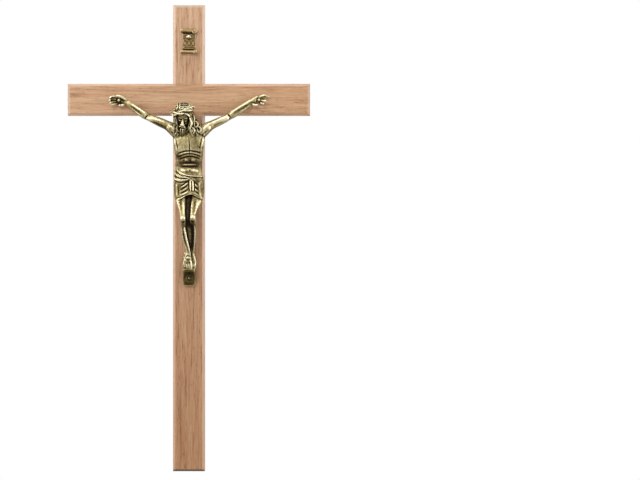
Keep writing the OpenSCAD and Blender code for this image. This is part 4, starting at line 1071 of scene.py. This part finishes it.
head = {
    "voxel": 0.15 * mm,
    "smooth": 3,
    "centre": [-2.5, -9.9, 10.7],
    "bow": 26.0,
    "lean": 6.5,
    "skull": [
        [0, 7.2, 0, 0.8, 0.9, 0.9], [0, 6.5, 0, 2.5, 2.6, 2.9], [0, 4.9, 0, 3.7, 4, 4.3],
        [0, 2.8, 0, 4.15, 4.7, 4.8], [0, 0.7, 0, 4.15, 4.75, 4.8], [0, -1.2, 0, 4, 4.6, 4.4],
        [0, -3.2, 0, 3.5, 4.5, 3.4], [0, -5, 0, 2.75, 4.3, 2.6], [0, -6.4, 0, 1.9, 3.9, 1.6],
        [0, -7.2, 0, 0.8, 3.1, 0.8],
    ],
    "cap": [
        [0, 7.3, -0.3, 3, 2.4, 2.6], [0, 6.7, -0.3, 4.2, 3.7, 4.1], [0, 4.8, -0.4, 4.7, 4.4, 4.9],
        [0, 2.6, -0.6, 4.8, 4.3, 5.2], [0, 0.4, -1, 4.8, 3, 5.1], [0, -2, -1.4, 4.7, 2.2, 4.4],
        [0, -4.6, -1.8, 4.5, 1.8, 3.4], [0, -7, -2.2, 4.2, 1.4, 2.6],
    ],
    "nose": [[0, 1.2, 4.3, 0.5], [0, -0.3, 4.75, 0.58], [0, -1.4, 5.15, 0.66], [0, -2, 5.35, 0.74]],
    "nostrils": [
        ([-0.74, -2.15, 4.95], [0.5, 0.42, 0.6], 0), ([0.74, -2.15, 4.95], [0.5, 0.42, 0.6], 0),
        ([0, -1.4, 4.7], [0.95, 1.3, 0.6], 0),
    ],
    # moustache and beard, one side of each pair: rows of [right, up, forwards, radius]
    "beardTwist": {"sides": 16, "flute": 0.14, "flutes": 4, "turns": 0.7},
    "beard": bothSides([
        ([[-0.25, -2.95, 5, 0.42], [-1, -3.25, 4.75, 0.45], [-1.75, -4, 4.2, 0.42],
         [-2.1, -5, 3.8, 0.3]],),
        ([[-3.5, -0.6, 1.6, 0.6], [-3.4, -2.6, 2.3, 0.75], [-2.9, -4.6, 2.9, 0.85],
         [-2, -6.4, 3.3, 0.8], [-1.1, -7.9, 3.4, 0.45]],),
        ([[-1.6, -4.9, 4, 0.6], [-1.3, -6.3, 4.1, 0.7], [-0.9, -7.7, 3.9, 0.6],
         [-0.7, -8.8, 3.6, 0.35]],),
        ([[-0.55, -5, 4.5, 0.5], [-0.5, -6.4, 4.6, 0.62], [-0.35, -7.9, 4.3, 0.55],
         [-0.3, -9.1, 3.8, 0.32]],),
    ]),
    # locks in the figure's own frame: [x, z, out, radius]
    "lockTwist": {"sides": 24, "steps": 8, "flute": 0.15, "flutes": 5, "turns": 1.3},
    "locks": [
        [[-5.6, -6.2, 10.8, 0.9], [-6.6, -9, 11, 1.1], [-6.9, -11.8, 10.8, 1.1],
         [-6.2, -14.4, 10.6, 1], [-6.5, -16.8, 10.4, 0.95], [-7.1, -19, 10, 0.8],
         [-6.7, -20.8, 9.8, 0.5]],
        [[-5.2, -7.4, 12.9, 0.75], [-6, -9.8, 13.3, 0.9], [-6.2, -12.4, 13.1, 0.9],
         [-5.6, -14.8, 12.6, 0.85], [-5.9, -17, 11.9, 0.75], [-5.6, -19.2, 11.3, 0.45]],
        [[-5, -8, 8.6, 1.2], [-5.6, -12, 8.4, 1.4], [-5.3, -16, 8.6, 1.3], [-5.6, -18.6, 8.8, 0.9]],
        [[0.7, -8, 13.2, 0.75], [1.5, -10.4, 13.5, 0.9], [1.6, -13, 13.2, 0.95], [1, -15.4, 12.9, 0.9],
         [1.8, -17.6, 12, 0.8], [2.4, -19.8, 11.2, 0.45]],
        [[1.6, -7, 11.2, 0.9], [2.8, -9.8, 11.6, 1.1], [3, -12.6, 11.4, 1.15], [3.6, -15.2, 11.1, 1.1],
         [4.5, -17.4, 10.6, 0.95], [5, -19.4, 10.2, 0.5]],
        [[2, -9.4, 9.6, 1.1], [3.8, -12, 9.9, 1.2], [5.3, -14, 10.1, 1.1], [6.4, -16.2, 10, 0.9],
         [6.7, -18.2, 9.7, 0.5]],
        # curls that lie on the locks
        [[3, -11.8, 12, 0.4], [4.4, -12.4, 12, 0.5], [5.1, -13.6, 11.9, 0.52], [4.6, -14.9, 11.9, 0.5],
         [3.7, -14.9, 12, 0.42], [3.5, -14.1, 12.1, 0.3]],
        [[4.6, -14.6, 11.6, 0.4], [5.9, -15, 11.4, 0.5], [6.7, -16.2, 11.2, 0.52],
         [6.3, -17.5, 11.2, 0.5], [5.4, -17.6, 11.3, 0.42], [5.2, -16.8, 11.4, 0.3]],
        [[1.6, -15.2, 13, 0.4], [2.8, -15.8, 12.7, 0.5], [3.4, -17, 12.3, 0.5], [2.9, -18.2, 12, 0.46],
         [2.1, -18.2, 12, 0.34]],
        [[0.9, -9.8, 14.4, 0.4], [1.5, -11.4, 14.6, 0.5], [1.9, -13.2, 14.4, 0.52],
         [1.5, -15, 13.9, 0.46], [1, -16.2, 13.4, 0.32]],
        [[-6.6, -13.2, 12.4, 0.4], [-7.3, -14.4, 12.2, 0.5], [-7.2, -15.7, 12, 0.52],
         [-6.3, -16.6, 11.8, 0.5], [-6.1, -17.8, 11.6, 0.46], [-6.7, -18.8, 11.3, 0.36]],
        [[-6, -9.2, 13.4, 0.4], [-6.7, -10.6, 13.2, 0.5], [-6.5, -12, 13, 0.5],
         [-5.7, -12.9, 12.9, 0.4]],
        [[-5.4, -14.4, 13.4, 0.36], [-6, -15.6, 13, 0.46], [-5.6, -16.9, 12.6, 0.46],
         [-4.7, -17.4, 12.3, 0.34]],
    ],
    # strands from the parting down each side, on an ellipsoid: where they start and end, and
    # how far they swell between, at the front and at the back
    "strands": 7,
    "strandRun": (0.04, 1, 7),      # the share of its way where a strand starts, ends, its points
    "strandTwist": {"flute": 0.1, "flutes": 3, "turns": 0.5},
    "hairRadii": [4.9, 6.7, 5.1],
    "hairCentre": [0.0, 0.5, -0.4],
    "parting": [[-2.4, 3.6, 4.2], [-1.4, 6.6, -3.0]],
    "hairEnd": [[4.8, 0.4, 2.6], [4.8, -1.0, -4.0]],
    "hairSwell": [[0.0, 1.3, 0.6], [0.0, 1.3, -0.2]],
    "strandRadius": ([0, 0.15, 0.7, 1], [0.3, 0.5, 0.62, 0.5]),
    # combed ridges: where they part, how they sweep back and waver, where they begin
    "comb": {
        "parting": -2.4, "sweep": 0.45, "waver": 0.22, "waverRate": 1.4, "from": 3.2, "grow": 1.4,
        "height": 0.13, "pitch": 1.15,
    },
    # parting and strands on the crown of the head, in the front view
    "combed": [
        ([(-5.1, -1.8), (-5, -3.8), (-5, -6.4)], 0.3, -0.5, 0.1),
        ([(-4.5, -3), (-2, -2.3), (0.8, -3.2)], 0.26, -0.3, 0.2),
        ([(-4.6, -4.2), (-2, -3.4), (1.2, -4.4)], 0.26, -0.32, 0.2),
        ([(-4.6, -5.4), (-2.4, -4.7), (0.2, -5.4)], 0.26, -0.32, 0.2),
        ([(-4.7, -6.4), (-3.2, -5.9), (-1.4, -6.4)], 0.24, -0.25, 0.2),
        ([(-5.6, -2.9), (-6.2, -4.4), (-6.5, -6.2)], 0.24, -0.3, 0.2),
    ],
    # the face, in its own plane: eye hollows, brows, lids, cheeks, then the mouth
    "face": bothSides([
        ([(-1.75, 0.3), (-1.45, 0.3)], 0.95, -0.36, 0),
        ([(-2.8, 0.8), (-1.7, 1.35), (-0.6, 1.1)], 0.36, 0.22, 0.25),
        ([(-1.95, -0.05), (-1.35, -0.05)], 0.5, 0.46, 0),
        ([(-2.4, -0.15), (-1.65, -0.45), (-0.9, -0.2)], 0.14, -0.22, 0.2),
        ([(-2.5, -1.6), (-2, -1.4)], 0.8, 0.18, 0), ([(-2.4, -3), (-2.2, -3.4)], 0.7, -0.2, 0),
    ]) + [
        ([(-1.05, -3.72), (0, -3.6), (1.05, -3.72)], 0.17, -0.32, 0.2),
        ([(-0.75, -4.05), (0.75, -4.05)], 0.3, 0.3, 0.3),
        ([(-0.7, -4.6), (0.7, -4.6)], 0.3, -0.16, 0.3),
    ],
    # less polish below the brow: patina in the hair and beard, painted shade on the bowed face
    "patinaAndShade": ([-20, -10, -7], [0.33, 0.33, 0.45]),
    "paintedLightAndPatina": [
        ([(-6.4, -9), (-6.4, -19)], 1.9, -0.13), ([(-5.2, -16.4), (-3.2, -19.8)], 1.5, -0.07),
    ],
    "proud": [(0.4, 1.8), (1.1, 1.6)],
    "relief": [(1.8, 0.26)],
    "crown": {
        "centre": (-2.9, -6.1, 10.6), "radius": (5.3, 6.2), "dip": 1.2, "rise": 1.5,
        "cane": 0.5, "twist": 0.8, "twists": 3, "steps": 160, "sides": 12,
        "lump": 0.12, "lumps": 13,      # how uneven a cane is, and how often
        "thorns": (4, 22, 40, 58, 78, 98, 118, 140, 158, 176, 200, 240, 290, 330),
        "thorn": 1.7, "thornOut": 0.35,
        "thornRadius": (0.3, 0.18, 0.06),
        "thornRise": (0.75, -0.3, 0.3),
    },
}


def headAxes(spec):
    # columns: where right, up and forwards point, as [x, z, out]
    bow, lean = math.radians(spec["bow"]), math.radians(spec["lean"])
    return np.array([
        [math.cos(lean), math.sin(lean) * math.cos(bow), -math.sin(lean) * math.sin(bow)],
        [-math.sin(lean), math.cos(lean) * math.cos(bow), -math.cos(lean) * math.sin(bow)],
        [0.0, math.sin(bow), math.cos(bow)],
    ])


headCentre = np.array(head["centre"])
turnHead = headAxes(head)


def onHead(part):
    return (headCentre + part[0] @ turnHead.T, *part[1:])


def faceView(points):
    # the plane of the face, and the way out of it
    right, out, up = turnHead[:, 2]
    return ((toFigure(points) - headCentre) @ turnHead)[:, :2], np.array([right, -up, out])


def crownLine(spec, q, phase):
    # an ellipse round the head with a cane that winds round it as a helix
    t = spec["twists"] * q + phase
    grow = spec["twist"] * np.cos(t)
    height = spec["rise"] * np.cos(q) - spec["dip"] * np.sin(q) + spec["twist"] * np.sin(t)
    return np.stack([
        spec["centre"][0] + (spec["radius"][0] + grow) * np.cos(q),
        spec["centre"][1] + height,
        spec["centre"][2] + (spec["radius"][1] + grow) * np.sin(q)], -1)


def crownParts(spec):
    q = np.linspace(0, 2 * math.pi, spec["steps"], endpoint=False)
    a = np.linspace(0, 2 * math.pi, spec["sides"], endpoint=False)[:, None]
    out = np.stack([np.cos(q), np.zeros_like(q), np.sin(q)], -1)[:, None]
    parts = []
    for phase in (0.0, math.pi):
        radius = spec["cane"] * (1 + spec["lump"] * np.sin(spec["lumps"] * q + phase))
        ring = np.cos(a) * out + np.sin(a) * np.array([0.0, 1.0, 0.0])
        line = crownLine(spec, q, phase)[:, None]
        parts.append(closedTube(line + radius[:, None, None] * ring, loop=True))
    for i, angle in enumerate(spec["thorns"]):
        q = math.radians(angle)
        root = crownLine(spec, np.array([q]), 0.0 if i % 2 else math.pi)[0]
        way = np.array([math.cos(q), spec["thornRise"][i % 3], spec["thornOut"] * math.sin(q)])
        line = root + np.outer([0, 0.55, 1], spec["thorn"] * way)
        parts.append(tube(np.column_stack([line, spec["thornRadius"]]), sides=8))
    return parts


def hairParts(spec):
    # strands leave the parting and lie round the skull to each side, on an ellipsoid
    radii, centre = np.array(spec["hairRadii"]), np.array(spec["hairCentre"])
    t = np.linspace(*spec["strandRun"])[:, None]
    thick = np.interp(t[:, 0], *spec["strandRadius"])
    parts = []
    for side in (-1, 1):
        for a in np.linspace(0, 1, spec["strands"]):
            start, end, swell = (
                np.array([1 - a, a]) @ spec[key] for key in ("parting", "hairEnd", "hairSwell"))
            end[0] *= side
            line = (1 - t) * start + t * end + np.sin(math.pi * t) * swell
            line = centre + unit(line / radii) * radii
            parts.append(onHead(tube(np.column_stack([line, thick]), **spec["strandTwist"])))
    return parts


def combHair(mesh, spec):
    # ridges on the crown of the head that leave the parting and sweep back as they fall
    points, _ = readMesh(mesh)
    x, y, z = ((toFigure(points) - headCentre) @ turnHead).T
    along = z + spec["sweep"] * np.abs(x - spec["parting"])
    along += spec["waver"] * np.sin(spec["waverRate"] * x)
    above = np.clip((y - spec["from"]) / spec["grow"], 0, 1)
    lift = spec["height"] * above * np.sin(2 * math.pi * along / spec["pitch"])
    writeMesh(mesh, points + meshNormals(mesh) * (lift * figUnit)[:, None])


def makeHead(spec):
    parts = [onHead(limb(spec["skull"])), onHead(limb(spec["cap"])), onHead(tube(spec["nose"]))]
    parts += [onHead(blob(*n)) for n in spec["nostrils"]]
    parts += [onHead(tube(rows, **spec["beardTwist"])) for rows, in spec["beard"]]
    parts += [tube(rows, **spec["lockTwist"]) for rows in spec["locks"]]
    parts += hairParts(spec) + crownParts(spec["crown"])
    mesh = castAsOne("corpusHead", parts, spec["voxel"])
    smoothSkin(mesh, spec["smooth"])
    combHair(mesh, spec["comb"])
    carve(mesh, spec["face"], faceView)
    carve(mesh, spec["combed"], edge=-0.1)
    return dressSkin(mesh, spec)


finishPiece("corpusHead", makeHead(head), antiqueBrass, "corpus")


# Foot rest: a cast wedge whose plate runs up the wood under the feet
def ringLine(centre, radius, count=14):
    q = np.linspace(0, 2 * math.pi, count)
    return np.stack([centre[0] + radius * np.cos(q), centre[1] + radius * np.sin(q)], -1)


footRest = {
    "voxel": 0.15 * mm,
    "smooth": 4,
    "section": {"steps": 1, "sides": 56, "power": 9.0},
    "middle": 0.25,
    "profile": [                # z, half width, how far out
        (-84, 3, 0.9), (-84.4, 3.25, 0.9), (-90.4, 3.25, 0.9), (-90.6, 3.25, 5.35), (-90.9, 3.25, 5.6),
        (-91.9, 3.25, 5.6), (-99, 3.25, 1.55), (-99.6, 2.95, 1.5), (-100, 2.3, 1.45),
    ],
    "patinaAndShade": ([-100, -97.5, -95, -91.6, -90], [0.54, 0.5, 0.36, 0.38, 0.46]),
    "proud": [(0.4, 1.1), (1.2, 0.9)],
    "relief": [],
    # two rings round the nail, then the worn sides
    "strokes": [
        (ringLine((0.35, -95.8), 1.35), 0.24, -0.12, 0),
        (ringLine((0.35, -95.8), 1.75), 0.2, 0.05, 0),
        ([(-2.4, -93.6), (-2.6, -96.4), (-2.3, -98.6)], 0.5, -0.12),
        ([(2.9, -93.4), (3, -96.4), (2.7, -98.6)], 0.5, -0.12),
    ],
}


def makeFootRest(spec):
    rows = [[spec["middle"], z, out / 2, half, out / 2, out / 2] for z, half, out in spec["profile"]]
    mesh = castAsOne("castFootRest", [limb(rows, **spec["section"])], spec["voxel"])
    smoothSkin(mesh, spec["smooth"])
    carve(mesh, spec["strokes"], edge=0.1)
    return dressSkin(mesh, spec)


finishPiece("castFootRest", makeFootRest(footRest), bareMetal("blackenedBrass", castLook),
            "foot_rest")


# Scroll plate: a sheet with both ends rolled up and three lozenges on it
def lozengeStrokes(x, z, wide, tall):
    # its four sides, cut in, and a raised middle
    tips = [(x, z + tall), (x + wide, z), (x, z - tall), (x - wide, z), (x, z + tall)]
    sides = [([a, b], 0.17, -0.15, 0) for a, b in zip(tips[:-1], tips[1:])]
    return sides + [([(x, z + 0.4 * tall), (x, z - 0.4 * tall)], 0.34, 0.08, 0)]


scrollPlate = {
    "voxel": 0.13 * mm,
    "smooth": 2,
    "section": {"steps": 4, "sides": 56, "power": 12.0},
    "rollTwist": {"sides": 28, "flute": 0.05, "flutes": 3, "turns": 0.6},
    "curlSides": 14,
    "sheet": [                  # z, middle, half width, how far out
        (25.2, 0.15, 3.5, 1.1), (27.2, 0.25, 3.5, 1.05), (29.6, 0.2, 3.35, 1.05),
        (32.4, 0.25, 3.35, 1.05), (34.8, 0.15, 3.5, 1.05), (36.8, 0.1, 3.6, 1.1),
    ],
    "end": 4.33,                # the rolls are cut off square here
    "rolls": [                  # rows of [x, z, out, radius]
        [[-4.4, 37.05, 1.15, 1], [-3, 36.95, 1.15, 1.08], [-0.6, 36.8, 1.1, 0.98],
         [1.8, 36.7, 1.1, 1.02], [3.4, 36.65, 1.2, 1.24], [4.6, 36.7, 1.2, 1.1]],
        [[-4.4, 25.65, 1.15, 1], [-2.8, 25.6, 1.1, 1], [0, 25.55, 1.05, 0.95], [2.2, 25.55, 1.1, 1],
         [3.4, 25.6, 1.2, 1.08], [4.6, 25.6, 1.2, 1]],
    ],
    "curls": [                  # a turned-up lip at the right end of each roll
        [[1.9, 36.3, 2.1, 0.26], [2.5, 35.75, 2.1, 0.34], [3.3, 35.65, 2.1, 0.36],
         [3.85, 36.3, 2.1, 0.36], [3.6, 37.05, 2.05, 0.34], [2.9, 37.1, 2.1, 0.32],
         [2.75, 36.5, 2.15, 0.26]],
        [[2.2, 25.3, 1.9, 0.24], [2.8, 24.95, 1.95, 0.32], [3.5, 25.1, 1.95, 0.34],
         [3.8, 25.8, 1.95, 0.34], [3.3, 26.3, 1.95, 0.32], [2.8, 25.95, 2, 0.26]],
    ],
    "lozenges": ((-1.95, 30.1), (0.2, 30.1), (2.35, 30.1)),
    "lozenge": (0.82, 1.75),    # half its width and half its height
    "patinaAndShade": ([0], [0.46]),
    "proud": [(0.35, 1.2), (1.0, 0.9)],
    "relief": [(1.6, 0.14)],
    # creases under the rolls, a double edge down each side, and small cuts
    "strokes": [
        ([(-3.7, 35.55), (0, 35.4), (2.2, 35.35)], 0.4, -0.3, 0.1),
        ([(-3.7, 26.9), (0, 26.8), (2.6, 26.8)], 0.3, -0.26, 0.1),
        ([(-3.3, 34.9), (-3, 31.2), (-3.2, 27.4)], 0.26, 0.14, 0.15),
        ([(3.5, 34.9), (3.4, 31.2), (3.6, 27.4)], 0.26, 0.14, 0.15),
        ([(-2.7, 34.6), (-2.6, 31), (-2.8, 27.8)], 0.24, -0.12, 0.15),
        ([(3.05, 34.6), (3, 31), (3.2, 27.8)], 0.24, -0.12, 0.15),
        ([(-2.8, 27.75), (3.2, 27.75)], 0.2, -0.14, 0.1),
        ([(-2.7, 32.5), (-1.5, 32.6)], 0.18, -0.12, 0.2), ([(1.7, 32.6), (3, 32.5)], 0.18, -0.12, 0.2),
        ([(-3.6, 37.7), (0, 37.4), (2.6, 37.3)], 0.3, 0.1),
    ],
}


def makeScrollPlate(spec):
    rows = [[middle, z, out / 2, half, out / 2, out / 2] for z, middle, half, out in spec["sheet"]]
    parts = [limb(rows, **spec["section"])]
    for line in spec["rolls"]:
        roll = tube(line, **spec["rollTwist"])
        roll[0][:, 0] = np.clip(roll[0][:, 0], -spec["end"], spec["end"])
        parts.append(roll)
    parts += [tube(line, sides=spec["curlSides"]) for line in spec["curls"]]
    mesh = castAsOne("titleScrollPlate", parts, spec["voxel"])
    smoothSkin(mesh, spec["smooth"])
    strokes = list(spec["strokes"])
    for place in spec["lozenges"]:
        strokes += lozengeStrokes(*place, *spec["lozenge"])
    carve(mesh, strokes, edge=0.1)
    return dressSkin(mesh, spec)


finishPiece("titleScrollPlate", makeScrollPlate(scrollPlate),
            bareMetal("antiquedScrollBrass", castLook), "title_scroll")
